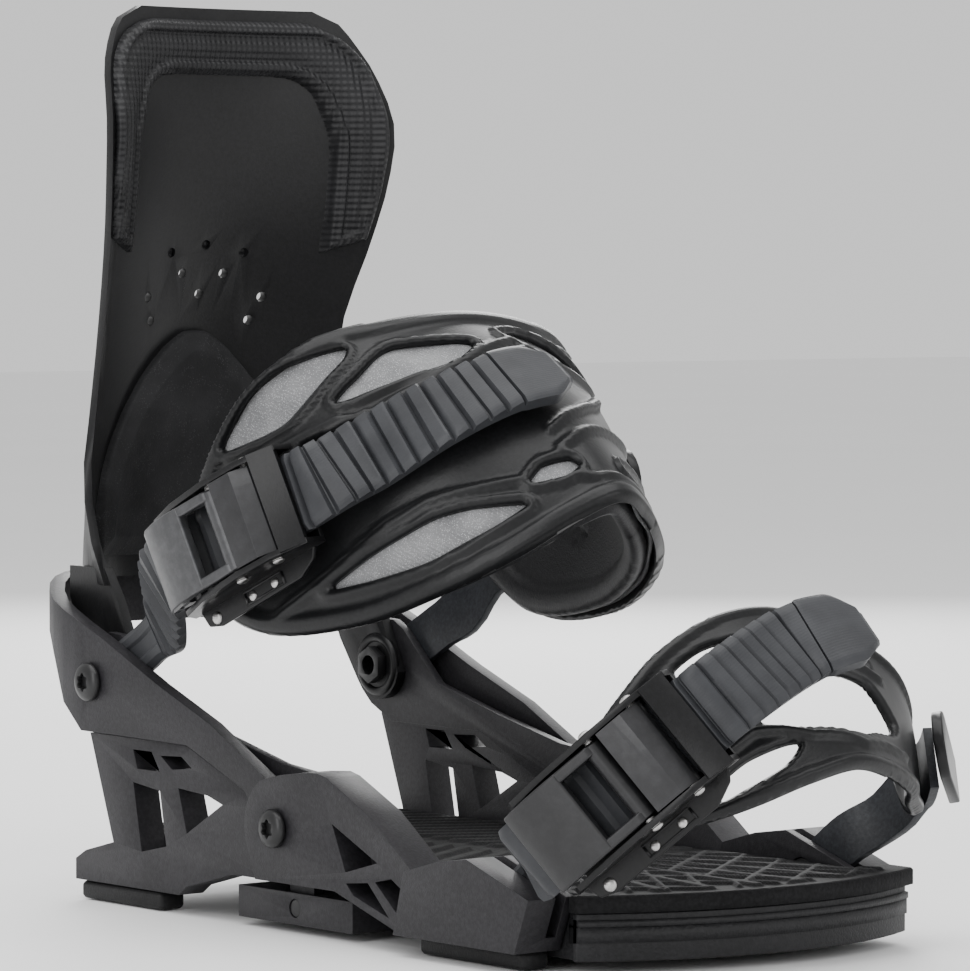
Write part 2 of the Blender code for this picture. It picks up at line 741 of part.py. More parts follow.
def back_point(across, height, offset=0.0):
    """A point of the highback's face; across runs from -1 to 1, and the offset is towards the heel."""
    half, edge, centre = back_section(height)
    squareness = 2 + 3 * (1 - ease(height, 0.080, 0.130))
    depth = (centre - edge) * abs(across) ** squareness
    spread = ease(abs(across), 0.45, 1.0) * (1 - ease(height, 0.095, 0.150))
    side = math.copysign(1, across) * offset * spread
    back = offset * (1 - ease(abs(across), 0.75, 1.0) * (1 - ease(height, 0.095, 0.150)))
    return Vector((half * across + side, centre - depth + back, height))


def highback():
    """One moulded shell: a tall curved back and two ears that reach forward to the ankle bolts."""
    columns = 24
    stations = [math.sin(math.radians(90 * (2 * i / columns - 1))) for i in range(columns + 1)]
    rings = []
    low = BACK_SECTIONS[3][0]
    heights = [low + (BACK_TOP - low) * (1 - (1 - i / BACK_ROWS) ** 1.6) for i in range(BACK_ROWS + 1)]
    y, z = ANKLE_PIVOT
    for height in heights:
        inner = [back_point(s, height) for s in stations]
        outer = [back_point(s, height, BACK_WALL) for s in reversed(stations)]
        rings.append(inner + outer)
    shell = loft(rings)
    ear_outline = [
        *arc((y, z), 0.0105, 190, 330, 7),
        (0.1060, 0.0700),
        (0.1140, 0.0860),
        (0.1140, 0.0950),
        (0.0965, 0.0950),
        (0.0900, 0.0860),
    ]
    ear = side_plate([ear_outline], BOOT_HALF, BOOT_HALF + EAR)
    body = combine(shell, "UNION", [ear, mirrored(ear)])
    radius = BOLT_SHANK + PIN_GAP
    holes = [across_hole(ANKLE_PIVOT, radius, low, low + 0.05) for low in (0.03, -0.08)]
    cut = combine(body, "DIFFERENCE", holes)
    origin_at(finish("highback", cut, SMOOTH_NYLON), (0, y, z))


def highback_cushion():
    """Inverted-U calf cushion on the upper face."""
    heights = [0.1900, 0.2000, 0.2100, 0.2250, 0.2330, 0.2400, 0.2500, 0.2540]
    columns, leg_columns, leg_rows = 16, 3, 4
    shares = [0.86 * (2 * j / columns - 1) for j in range(columns + 1)]
    points = [[back_point(share, height, -LAYER_GAP) for share in shares] for height in heights]

    def keep(i, j):
        return i >= leg_rows or j < leg_columns or j >= columns - leg_columns

    body = open_shell(points, keep, CUSHION, -1.0)
    origin_at(finish("highback_cushion", body, FOAM), (0, *ANKLE_PIVOT))


def heel_pad():
    """Arch-shaped pad at the heel, narrowing upwards to a point."""
    rings = []
    base, peak = 0.1000, 0.1640
    for step in range(9):
        share = step / 8
        height = base + (peak - base) * share
        reach = 0.62 * (1 - share**2) ** 0.75 + 0.03
        shares = [reach * (2 * i / BACK_ACROSS - 1) for i in range(BACK_ACROSS + 1)]
        near = [back_point(s, height, -LAYER_GAP - HEEL_PAD) for s in shares]
        far = [back_point(s, height, -LAYER_GAP) for s in reversed(shares)]
        rings.append(near + far)
    origin_at(finish("heel_pad", loft(rings), FOAM), (0, *ANKLE_PIVOT))


LEAN_THICK = 0.0090
LEAN_LOW = 0.0965
LEAN_HIGH = 0.1250


def lean_parts():
    """Forward-lean block that slides on the highback's rear face above the heelcup, with its lock lever."""
    rows = []
    for height in (LEAN_LOW, 0.1100, LEAN_HIGH):
        shares = (-0.28, -0.14, 0.0, 0.14, 0.28)
        front = [back_point(share, height, BACK_WALL + LAYER_GAP) for share in shares]
        rear_y = back_point(0, height, BACK_WALL)[1] + LEAN_THICK
        rear = [(0.0125, rear_y - 0.001, height), (-0.0125, rear_y - 0.001, height)]
        rows.append([*front, *rear])
    block = loft(rows)
    pin_y = back_point(0, LEAN_HIGH, BACK_WALL)[1] + LEAN_THICK + 0.0036
    pin_z = LEAN_HIGH - 0.0060
    lugs = []
    for x in (-0.0119, 0.0099):
        low = (x, pin_y - 0.0080, pin_z - 0.0028)
        lugs.append(box(low, (x + 0.0020, pin_y + 0.0028, pin_z + 0.0030)))
    turn = SIDEWAYS @ Matrix.Translation((pin_y, pin_z, 0))
    bore = cylinder(PIN + PIN_GAP, -0.02, 0.02, segments=16, turn=turn)
    finish("lean_block", combine(combine(block, "UNION", lugs), "DIFFERENCE", [bore]), NYLON)
    finish("lean_pin", cylinder(PIN, -0.0124, 0.0124, segments=16, turn=turn), STEEL)
    lever_half = 0.0095
    tail_z = LEAN_LOW + 0.0030
    tail_y = back_point(0, tail_z, BACK_WALL)[1] + LEAN_THICK + 0.0016
    outline = [
        *arc((pin_y, pin_z), 0.0027, -60, 200, 8),
        (tail_y, tail_z),
        (tail_y + 0.0022, tail_z - 0.0012),
    ]
    lever = prism([outline], -lever_half, lever_half, SIDEWAYS)
    lever = combine(lever, "DIFFERENCE", [bore_copy(pin_y, pin_z)])
    origin_at(finish("lean_lever", lever, GREY_METAL), (0, pin_y, pin_z))
    return pin_y, pin_z


def bore_copy(y, z):
    return cylinder(PIN + PIN_GAP, -0.02, 0.02, segments=16, turn=SIDEWAYS @ Matrix.Translation((y, z, 0)))


# ---------------------------------------------------------------- straps

# Outer edges of each strap on one side, from the crown (0) to the end (1): share, X, Y, Z.
ANKLE_REAR = [(0, 0, -0.0060, 0.1690), (0.2, 0.0200, -0.0040, 0.1675), (0.4, 0.0400, 0.0030, 0.1635), (
    0.55, 0.0510, 0.0100, 0.1560), (0.7, 0.0560, 0.0220, 0.1460), (0.85, 0.0570, 0.0360, 0.1290), (
    1, 0.0540, 0.0500, 0.1060)]
ANKLE_FRONT = [(0, 0, -0.0790, 0.1200), (0.2, 0.0110, -0.0750, 0.1155), (0.4, 0.0260, -0.0640, 0.1040), (
    0.55, 0.0380, -0.0460, 0.0930), (0.7, 0.0460, -0.0220, 0.0830), (0.85, 0.0510, 0.0120, 0.0775), (
    1, 0.0520, 0.0420, 0.0860)]
TOE_REAR = [(0, 0, -0.1295, 0.0925), (0.25, 0.0160, -0.1290, 0.0900), (0.45, 0.0340, -0.1315, 0.0830), (
    0.6, 0.0460, -0.1335, 0.0750), (0.8, 0.0540, -0.1300, 0.0640), (1, 0.0560, -0.1215, 0.0500)]
TOE_FRONT = [(0, 0, -0.1715, 0.0540), (0.25, 0.0140, -0.1690, 0.0510), (0.45, 0.0270, -0.1630, 0.0455), (
    0.6, 0.0350, -0.1540, 0.0410), (0.8, 0.0470, -0.1430, 0.0360), (1, 0.0540, -0.1330, 0.0340)]


def on_edge(edge, share):
    """Smooth point on one of the strap's outer edges; a negative share is on the left."""
    size = abs(share)
    stops = [row[0] for row in edge]
    last = max(i for i in range(len(stops) - 1) if stops[i] <= size + 1e-9)
    rows = [Vector(row[1:]) for row in edge]
    before = rows[last - 1] if last else Vector((-rows[1].x, rows[1].y, rows[1].z))
    after = rows[last + 2] if last + 2 < len(rows) else rows[-1] * 2 - rows[-2]
    t = (size - stops[last]) / (stops[last + 1] - stops[last])
    a, b, c, d = before, rows[last], rows[last + 1], after
    point = b + ((c - a) * t + (a * 2 - b * 5 + c * 4 - d) * t**2 + (b * 3 - a - c * 3 + d) * t**3) / 2
    point.x = math.copysign(1, share) * (point.x + WIDER * ease(size, 0, 0.5))
    return point


def strap_frame(edges, share, crown):
    """Rear edge, front edge and outward direction of the strap at a share of its half length."""
    rear, front = (on_edge(edge, share) for edge in edges)
    step = 0.02
    ahead = sum((on_edge(edge, min(share + step, 1)) for edge in edges), Vector())
    behind = sum((on_edge(edge, max(share - step, -1)) for edge in edges), Vector())
    outward = (ahead - behind).cross(rear - front).normalized()
    if outward.dot((rear + front) / 2 - Vector(crown)) < 0:
        outward = -outward
    return rear, front, outward


def strap_point(strap, share, across, lift=0.0):
    """A point of the strap: across runs from the rear edge (0) to the front edge (1), lift is outward."""
    rear, front, outward = strap_frame(strap["edges"], share, strap["inside"])
    bulge = strap["bulge"] * (1 - 0.7 * abs(share)) * 4 * across * (1 - across)
    return rear + (front - rear) * across + outward * (bulge + lift)


def strap_slab(strap, low, high, inset, stations=26, rows=6):
    """A slab that follows the strap between two lifts, its ends and edges drawn in by the inset."""
    rings = []
    for i in range(stations + 1):
        share = (1 - inset) * (2 * i / stations - 1)
        end = abs(share) ** 6
        margin = 0.5 * inset + 0.16 * end
        across = [margin + (1 - 2 * margin) * j / rows for j in range(rows + 1)]
        outer = [strap_point(strap, share, v, high) for v in across]
        inner = [strap_point(strap, share, v, low) for v in reversed(across)]
        rings.append(outer + inner)
    return loft(rings)


def ribbon(path, root_width, width, low, high):
    """A flat strip along a path of (point, outward) pairs, widening from its root."""
    rings = []
    travelled = 0.0
    for i, (point, outward) in enumerate(path):
        before = path[max(i - 1, 0)][0]
        after = path[min(i + 1, len(path) - 1)][0]
        forward = (after - before).normalized()
        side = forward.cross(outward).normalized()
        up = side.cross(forward).normalized()
        if up.dot(outward) < 0:
            up = -up
        travelled += (point - before).length
        half = (root_width + (width - root_width) * ease(travelled, *ROOT_LENGTH)) / 2
        a, b = point - side * half, point + side * half
        rings.append([a + up * low, b + up * low, b + up * high, a + up * high])
    return loft(rings)


def buckle_matrix(strap, share, lift, reach):
    """Frame on the left-hand side of the strap: x towards the crown, z outward."""
    ahead = strap_point(strap, share + reach, 0.5)
    behind = strap_point(strap, share - reach, 0.5)
    forward = ((ahead - behind).normalized() + Vector(strap["buckle_turn"])).normalized()
    middle = (ahead + behind) / 2
    outward = strap_frame(strap["edges"], share, strap["inside"])[2]
    outward = (outward - forward * outward.dot(forward)).normalized()
    side = outward.cross(forward)
    surface = strap_point(strap, share, 0.5)
    origin = middle + outward * ((surface - middle).dot(outward) + lift)
    return Matrix((
        (forward.x, side.x, outward.x, origin.x),
        (forward.y, side.y, outward.y, origin.y),
        (forward.z, side.z, outward.z, origin.z),
        (0, 0, 0, 1),
    ))


# Turns an outline's (x, y, height) into (x, z, -y), for plates that stand across a buckle.
UPRIGHT = Matrix(((1, 0, 0, 0), (0, 0, -1, 0), (0, 1, 0, 0), (0, 0, 0, 1)))


def upright(outlines, low, high):
    """A plate in a buckle's length and height, between two places across it."""
    return prism(outlines, -high, -low, UPRIGHT)


BUCKLE_REAR = -0.0290
BUCKLE_FRONT = 0.0270
CHEEK_HEIGHT = 0.0130
LEVER_PIN = (0.0020, 0.0100)
RELEASE_PIN = (0.0160, 0.0085)
LADDER_LIFT = 0.0034  # ladder's middle over the buckle's underside
PIVOT_GAP = 0.0004


def buckle_housing():
    """Open channel: base plate, two arched cheeks and a bridge at the end nearest the crown."""
    half = BUCKLE_HALF_WIDTH
    base = box((BUCKLE_REAR + 0.005, -half, 0), (BUCKLE_FRONT, half, BUCKLE_BASE))
    cheek_outline = [
        (BUCKLE_REAR, 0.0010),
        (BUCKLE_REAR + 0.0040, 0),
        (BUCKLE_FRONT, 0),
        (BUCKLE_FRONT + 0.0010, 0.0080),
        (0.0170, CHEEK_HEIGHT),
        (0.0040, CHEEK_HEIGHT + 0.0012),
        (-0.0130, CHEEK_HEIGHT - 0.0010),
        (BUCKLE_REAR + 0.0030, 0.0070),
    ]
    cheeks = [upright([cheek_outline], low, low + BUCKLE_WALL) for low in (-half, half - BUCKLE_WALL)]
    front = BUCKLE_FRONT
    bridge_outline = [
        (front - 0.0035, 0.0072),
        (front, 0.0062),
        (front + 0.0008, 0.0082),
        (front - 0.0055, 0.0128),
        (front - 0.0065, 0.0112),
    ]
    bridge = upright([bridge_outline], -half + 0.0002, half - 0.0002)
    bores = []
    for x, z in (LEVER_PIN, RELEASE_PIN):
        turn = Matrix.Translation((x, 0, z)) @ Matrix.Rotation(math.pi / 2, 4, "X")
        bores.append(cylinder(PIN + PIN_GAP, -0.03, 0.03, segments=16, turn=turn))
    return combine(combine(base, "UNION", [*cheeks, bridge]), "DIFFERENCE", bores)


def buckle_pin(place_at):
    half = BUCKLE_HALF_WIDTH + 0.0008
    turn = Matrix.Translation((place_at[0], 0, place_at[1])) @ Matrix.Rotation(math.pi / 2, 4, "X")
    return cylinder(PIN, -half, half, segments=16, turn=turn)


def lever_body(pin, outline, half):
    turn = Matrix.Translation((pin[0], 0, pin[1])) @ Matrix.Rotation(math.pi / 2, 4, "X")
    bore = cylinder(PIN + PIN_GAP, -0.03, 0.03, segments=16, turn=turn)
    return combine(upright([outline], -half, half), "DIFFERENCE", [bore])


def ratchet_lever():
    """Long lever: a hub on its pin and a handle that runs to the buckle's outer end and stands over it."""
    x, z = LEVER_PIN
    outline = [
        *arc((x, z), 0.0030, -100, 95, 8),
        (-0.0100, 0.0138),
        (-0.0190, 0.0133),
        (-0.0285, 0.0098),
        (-0.0291, 0.0082),
        (-0.0190, 0.0108),
        (-0.0100, 0.0108),
    ]
    return lever_body(LEVER_PIN, outline, BUCKLE_HALF_WIDTH - BUCKLE_WALL - PIVOT_GAP)


def release_lever():
    """Short lever by the bridge, whose pawl holds the ladder until it is lifted."""
    x, z = RELEASE_PIN
    outline = [
        *arc((x, z), 0.0027, -80, 60, 6),
        (x - 0.0020, z + 0.0052),
        (x - 0.0100, z + 0.0060),
        (x - 0.0106, z + 0.0042),
        (x - 0.0040, z + 0.0010),
        (x - 0.0030, z - 0.0024),
    ]
    return lever_body(RELEASE_PIN, outline, BUCKLE_HALF_WIDTH - BUCKLE_WALL - PIVOT_GAP)


def buckle(name, matrix):
    place(finish(f"{name}_buckle", buckle_housing(), BLACK_METAL), matrix)
    for part, pin, body, look in (
        ("lever", LEVER_PIN, ratchet_lever(), GREY_METAL),
        ("release", RELEASE_PIN, release_lever(), GREY_METAL),
    ):
        at_pin = Matrix.Translation((pin[0], 0, pin[1]))
        body.transform(at_pin.inverted())
        place(finish(f"{name}_{part}", body, look), matrix @ at_pin)
        place(finish(f"{name}_{part}_pin", buckle_pin(pin), STEEL), matrix)


def strap_root(pivot, side, slot_middle, offsets):
    """Points from the strap's bolt out of its slot: offsets are (along -Y, up, outward) from the bolt."""
    y, z = pivot
    return [Vector((side * (slot_middle + out), y - ahead, z + up)) for ahead, up, out in offsets]


def ladder(strap, matrix, pivot, root_offsets, tip_share, lifts):
    """Toothed strip: bolted in the side rail, straight through the buckle, then over the strap's crown."""
    slot_middle = PANEL_OUT + STRAP_SLOT / 2
    root = strap_root(pivot, -1, slot_middle, root_offsets)
    ends = (BUCKLE_REAR - 0.0035, BUCKLE_REAR + 0.003, BUCKLE_FRONT - 0.002, BUCKLE_FRONT + 0.006)
    in_buckle = [matrix @ Vector((x, 0, LADDER_LIFT)) for x in ends]
    start = strap["buckle_share"] + strap["buckle_reach"] + strap["ladder_start"]
    steps = [i / 3 for i in range(4)]
    over = []
    for step in steps:
        lift = lifts[0] + (lifts[1] - lifts[0]) * step
        over.append(strap_point(strap, start + (tip_share - start) * step, 0.5, lift))
    points = smooth_path([*root, *in_buckle, *over], 5)
    outward_ends = []
    for point in points:
        near_root = ease((point - root[0]).length, 0.005, (in_buckle[0] - root[0]).length)
        aside = Vector((-1, 0, 0))
        buckle_out = matrix.to_3x3() @ Vector((0, 0, 1))
        crown_out = strap_frame(strap["edges"], tip_share, strap["inside"])[2]
        toward_tip = ease((point - in_buckle[2]).length, 0.0, (points[-1] - in_buckle[2]).length)
        if (point - root[0]).length < (in_buckle[2] - root[0]).length:
            toward_tip = 0.0
        mixed = aside.lerp(buckle_out, near_root).lerp(crown_out, toward_tip)
        outward_ends.append(mixed.normalized())
    pairs = list(zip(points, outward_ends))
    eye = across_hole(pivot, BOLT_SHANK + PIN_GAP, -0.080, -0.030)
    body = ribbon(pairs, ROOT_WIDTH, LADDER_WIDTH, -LADDER / 2, LADDER / 2)
    return combine(body, "DIFFERENCE", [eye])


def connector(strap, pivot, root_offsets, start_share, end_share, lift, width):
    """Plain strip on the inner side of the foot, bolted in the side rail and lying on the strap."""
    slot_middle = PANEL_OUT + STRAP_SLOT / 2
    root = strap_root(pivot, 1, slot_middle, root_offsets)
    shares = [start_share + (end_share - start_share) * i / 2 for i in range(3)]
    over = [strap_point(strap, share, 0.5, lift) for share in shares]
    points = smooth_path([*root, *over], 4)
    outwards = []
    for point in points:
        near_root = ease((point - root[0]).length, 0.010, 0.055)
        end_out = strap_frame(strap["edges"], end_share, strap["inside"])[2]
        outwards.append(Vector((1, 0, 0)).lerp(end_out, near_root).normalized())
    eye = across_hole(pivot, BOLT_SHANK + PIN_GAP)
    body = ribbon(list(zip(points, outwards)), ROOT_WIDTH, width, -LADDER / 2, LADDER / 2)
    return combine(body, "DIFFERENCE", [eye])


def adjuster(strap, share, lift, radius):
    """Round-ended locking tab that clamps the connector to the strap."""
    outward = strap_frame(strap["edges"], share, strap["inside"])[2]
    centre = strap_point(strap, share, 0.5, lift)
    ahead = strap_point(strap, share - 0.05, 0.5, lift) - centre
    forward = (ahead - outward * ahead.dot(outward)).normalized()
    side = outward.cross(forward)
    matrix = Matrix((
        (forward.x, side.x, outward.x, centre.x),
        (forward.y, side.y, outward.y, centre.y),
        (forward.z, side.z, outward.z, centre.z),
        (0, 0, 0, 1),
    ))
    outline = [*arc((0, 0), radius, -90, 90, 10), (-0.020, radius * 0.7), (-0.020, -radius * 0.7)]
    return prism([outline], 0, 0.0030), matrix


ANKLE = {
    "edges": (ANKLE_REAR, ANKLE_FRONT),
    "inside": (0, 0.030, 0.070),
    "bulge": 0.0050,
    "buckle_share": -0.76,
    "buckle_reach": 0.14,
    "buckle_turn": (0, 0, 0),
    "ladder_start": 0.12,
}
TOE = {
    "edges": (TOE_REAR, TOE_FRONT),
    "inside": (0, -0.100, 0.030),
    "bulge": 0.0030,
    "buckle_share": -0.74,
    "buckle_reach": 0.18,
    "buckle_turn": (-0.20, -0.10, 0.08),
    "ladder_start": 0.40,
}


def ankle_strap():
    pivot = (0, *ANKLE_PIVOT)
    lift = 0.0060
    matrix = buckle_matrix(ANKLE, ANKLE["buckle_share"], lift, ANKLE["buckle_reach"])
    web = strap_slab(ANKLE, -WEB, 0, 0.0)
    origin_at(finish("ankle_web", web, WEBBING), pivot)
    liner = strap_slab(ANKLE, -WEB - LAYER_GAP - LINER, -WEB - LAYER_GAP, 0.03)
    origin_at(finish("ankle_liner", liner, FOAM), pivot)
    root = [(0, 0, 0), (0.010, 0.0060, 0), (0.020, 0.0115, 0), (0.030, 0.0180, 0.0015)]
    strip = ladder(ANKLE, matrix, ANKLE_PIVOT, root, 0.03, (0.0060, 0.0060))
    origin_at(finish("ankle_ladder", strip, LADDER_BLUE), pivot)
    buckle("ankle", matrix)
    strip = connector(ANKLE, ANKLE_PIVOT, root, 1.0, 0.68, 0.0026, 0.0200)
    origin_at(finish("ankle_connector", strip, WEBBING), pivot)
    tab, tab_matrix = adjuster(ANKLE, 0.62, 0.0046, 0.0095)
    place(finish("ankle_adjuster", tab, BLACK_METAL), tab_matrix)


def toe_web():
    """Two bands that join at each end and are open between them."""
    stations, rows = 30, 8
    points = []
    for i in range(stations + 1):
        share = 2 * i / stations - 1
        margin = 0.10 * abs(share) ** 6
        across = [margin + (1 - 2 * margin) * j / rows for j in range(rows + 1)]
        points.append([strap_point(TOE, share, v) for v in across])

    def keep(i, j):
        share = abs((2 * i + 1) / stations - 1)
        return not (share < 0.58 and 3 <= j <= 4 or share < 0.40 and j == 2)

    return open_shell(points, keep, TOE_WEB, 0.0)


def toe_strap():
    pivot = (0, *TOE_PIVOT)
    matrix = buckle_matrix(TOE, TOE["buckle_share"], 0.0060, TOE["buckle_reach"])
    origin_at(finish("toe_web", toe_web(), WEBBING), pivot)
    root = [(0, 0, 0), (0.007, 0.0055, 0), (0.014, 0.0110, 0.0008), (0.0195, 0.0150, 0.0045)]
    strip = ladder(TOE, matrix, TOE_PIVOT, root, 0.09, (0.0160, 0.0190))
    origin_at(finish("toe_ladder", strip, LADDER_BLUE), pivot)
    buckle("toe", matrix)
    strip = connector(TOE, TOE_PIVOT, [*root[:3], (0.022, 0.0170, 0.0062)], 0.95, 0.78, 0.0050, 0.0180)
    origin_at(finish("toe_connector", strip, WEBBING), pivot)
    tab, tab_matrix = adjuster(TOE, 0.72, 0.0068, 0.0095)
    place(finish("toe_adjuster", tab, BLACK_METAL), tab_matrix)


clear_scene()
PARTS = collection(OBJECT)
CUTTERS = collection("cutters")
mounting_disc()
disc_screws()
chassis()
kingpins()
bushings()
base_floor()
footbed()
side_rails()
heelcup()
fasteners()
toe_ramp()
highback()
highback_cushion()
heel_pad()
lean_parts()
ankle_strap()
toe_strap()
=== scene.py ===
"""A strap-in snowboard binding: moulded base and highback, two straps with ratchet buckles."""

import math

import bmesh
import bpy
import numpy as np
from mathutils import Matrix, Vector


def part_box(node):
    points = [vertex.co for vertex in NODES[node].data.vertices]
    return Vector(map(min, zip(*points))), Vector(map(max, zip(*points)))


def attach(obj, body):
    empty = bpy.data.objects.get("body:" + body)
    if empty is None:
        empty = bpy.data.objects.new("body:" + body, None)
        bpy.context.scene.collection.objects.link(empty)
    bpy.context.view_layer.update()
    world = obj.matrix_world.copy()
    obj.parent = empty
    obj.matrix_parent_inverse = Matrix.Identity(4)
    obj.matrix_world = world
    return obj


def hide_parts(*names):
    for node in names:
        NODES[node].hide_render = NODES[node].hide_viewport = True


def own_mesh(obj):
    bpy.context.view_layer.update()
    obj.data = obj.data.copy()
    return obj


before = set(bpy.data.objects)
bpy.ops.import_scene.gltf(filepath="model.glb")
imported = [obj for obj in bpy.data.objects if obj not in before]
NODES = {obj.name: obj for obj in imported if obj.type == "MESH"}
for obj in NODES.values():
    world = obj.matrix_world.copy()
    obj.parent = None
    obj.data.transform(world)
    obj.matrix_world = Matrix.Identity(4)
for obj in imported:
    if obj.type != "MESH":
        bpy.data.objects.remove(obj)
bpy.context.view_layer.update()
SCENE = bpy.context.scene

# ---------------------------------------------------------------- looks


def both_ways(operation):
    """An operator on two values, and its reflected form."""

    def forward(self, other):
        return self.maths(operation, self, other)

    def reflected(self, other):
        return self.maths(operation, other, self)

    return forward, reflected


class Flow:
    """A shader socket that takes part in sums, differences and products."""

    def __init__(self, look, socket):
        self.look = look
        self.socket = socket

    def maths(self, operation, first, second=0.0):
        made = self.look.node("ShaderNodeMath", {"operation": operation}, {0: first, 1: second})
        return self.look.out(made)

    __add__, __radd__ = both_ways("ADD")
    __sub__, __rsub__ = both_ways("SUBTRACT")
    __mul__, __rmul__ = both_ways("MULTIPLY")

    def wave(self):
        return self.maths("SINE", self)

    def over(self, low, high):
        """0 below low, 1 above high, smooth between."""
        settings = {"interpolation_type": "SMOOTHSTEP", "clamp": True}
        sockets = {"Value": self, "From Min": low, "From Max": high}
        return self.look.out(self.look.node("ShaderNodeMapRange", settings, sockets))


class Look:
    """A material built node by node round one Principled shader."""

    def __init__(self, name, roughness=0.5, metallic=0.0, coat=0.0, sheen=0.0, gloss=0.27):
        self.material = bpy.data.materials.new(name)
        self.material.use_nodes = True
        self.tree = self.material.node_tree
        self.skin = self.tree.nodes["Principled BSDF"]
        fixed = {"Roughness": roughness, "Metallic": metallic, "Coat Weight": coat, "Sheen Weight": sheen}
        fixed["Specular IOR Level"] = 0.5 if metallic else gloss
        for name, value in fixed.items():
            self.skin.inputs[name].default_value = value

    def node(self, kind, settings=None, sockets=None):
        made = self.tree.nodes.new(kind)
        for name, value in (settings or {}).items():
            setattr(made, name, value)
        for name, value in (sockets or {}).items():
            self.plug(value, made.inputs[name])
        return made

    def plug(self, value, socket):
        """Gives a socket a link, a colour or a number."""
        if isinstance(value, Flow):
            self.tree.links.new(value.socket, socket)
        else:
            socket.default_value = (*value, 1) if isinstance(value, tuple) else value

    def out(self, made, name=0):
        return Flow(self, made.outputs[name])

    def place(self):
        return self.out(self.node("ShaderNodeTexCoord"), "Object")

    def part_of_place(self):
        """The three Object coordinates, as numbers."""
        made = self.node("ShaderNodeSeparateXYZ", None, {0: self.place()})
        return [self.out(made, name) for name in "XYZ"]

    def noise(self, per_metre, detail=3.0, rough=0.55, seed=0.0):
        sockets = {"Vector": self.place(), "W": seed, "Scale": per_metre}
        sockets |= {"Detail": detail, "Roughness": rough}
        return self.out(self.node("ShaderNodeTexNoise", {"noise_dimensions": "4D"}, sockets))

    def cells(self, per_metre):
        return self.out(self.node("ShaderNodeTexVoronoi", None, {"Vector": self.place(), "Scale": per_metre}))

    def tint(self, factor, low, high):
        """A colour between two, by a number."""
        return self.out(self.node("ShaderNodeMix", {"data_type": "RGBA"}, {0: factor, 6: low, 7: high}), 2)

    def colour(self, value):
        self.plug(value, self.skin.inputs["Base Color"])

    def roughness(self, value):
        self.plug(value, self.skin.inputs["Roughness"])

    def bump(self, height, depth):
        """Raises the surface by depth metres where the height is 1; calls add up."""
        made = self.node("ShaderNodeBump", None, {"Height": height, "Distance": depth, "Strength": 1.0})
        before = self.skin.inputs["Normal"].links
        if before:
            self.tree.links.new(before[0].from_socket, made.inputs["Normal"])
        self.tree.links.new(made.outputs[0], self.skin.inputs["Normal"])


def shades(colour, low, high):
    """The same colour darker and lighter."""
    return [tuple(c * share for c in colour) for share in (low, high)]


def moulded(name, colour, roughness, grain, grain_depth, lift=1.5, gloss=0.27):
    """Moulded plastic or rubber: a fine skin, slow shifts of shade and gloss, and faint scuffs."""
    look = Look(name, roughness, gloss=gloss)
    shade = look.noise(38.0, 4.0) * 0.35 + look.noise(900.0, 3.0) * 0.65
    look.colour(look.tint(shade.over(0.36, 0.66), *shades(colour, 0.80, lift)))
    scuffs = look.noise(160.0, 6.0, 0.7, 3.0).over(0.62, 0.76)
    look.roughness(roughness - 0.04 + 0.08 * look.noise(90.0, 4.0) + 0.06 * scuffs)
    look.bump(look.cells(grain) * 0.6 + look.noise(grain * 0.7, 2.0), grain_depth)
    look.bump(look.noise(26.0, 2.0), 0.00025)
    return look.material


def pad_look(name, colour, pitch, depth, roughness):
    """Soft pad with a fine raised diamond grain."""
    look = Look(name, roughness)
    x, _, z = look.part_of_place()
    grid = (x * pitch + z * pitch).wave() * (x * pitch - z * pitch).wave()
    fleck = look.cells(1900.0).over(0.34, 0.10)
    base = look.tint(look.noise(60.0, 4.0).over(0.35, 0.65), *shades(colour, 0.8, 1.25))
    look.colour(look.tint(fleck * 0.35, base, tuple(c * 3.2 for c in colour)))
    look.roughness(roughness + 0.12 * look.noise(240.0))
    look.bump(grid * 0.5, depth)
    look.bump(look.noise(1400.0, 2.0), 0.00004)
    return look.material


def speckled_foam(name, colour, size):
    """Foam rubber with pale grains pressed in it."""
    look = Look(name, 0.72, gloss=0.14)
    grains = look.cells(size).over(0.30, 0.12) * look.noise(size * 0.12, 2.0).over(0.42, 0.60)
    base = look.tint(look.noise(44.0, 4.0).over(0.3, 0.7), *shades(colour, 0.7, 1.3))
    look.colour(look.tint(grains * 0.55, base, tuple(c * 4.0 for c in colour)))
    look.roughness(0.60 + 0.25 * look.noise(300.0))
    look.bump(look.noise(900.0, 4.0, 0.7), 0.00016)
    look.bump(look.cells(size), 0.00008)
    return look.material


def glitter_cloth():
    """Silver-grey coated cloth: a close weave with glossier glitter grains, whose glint is painted into their
    colour as bright spots.
    """
    look = Look("glitter_cloth", 0.46, sheen=0.15)
    x, y, z = look.part_of_place()
    weave = (x * 5200.0 + y * 2600.0).wave() * (z * 5200.0 - y * 2600.0).wave()
    grains = look.cells(2300.0).over(0.36, 0.08)
    base = look.tint(look.noise(70.0, 3.0).over(0.3, 0.7), (0.135, 0.137, 0.142), (0.215, 0.217, 0.222))
    # Painted glint: the glitter grains get a pale colour that stands for their sparkle; their lower roughness
    # on the next line is their real gloss.
    look.colour(look.tint(grains, base, (0.50, 0.50, 0.51)))
    look.roughness(0.56 - 0.25 * grains)
    look.bump(weave * 0.5 + look.noise(1800.0) * 0.5, 0.00012)
    return look.material


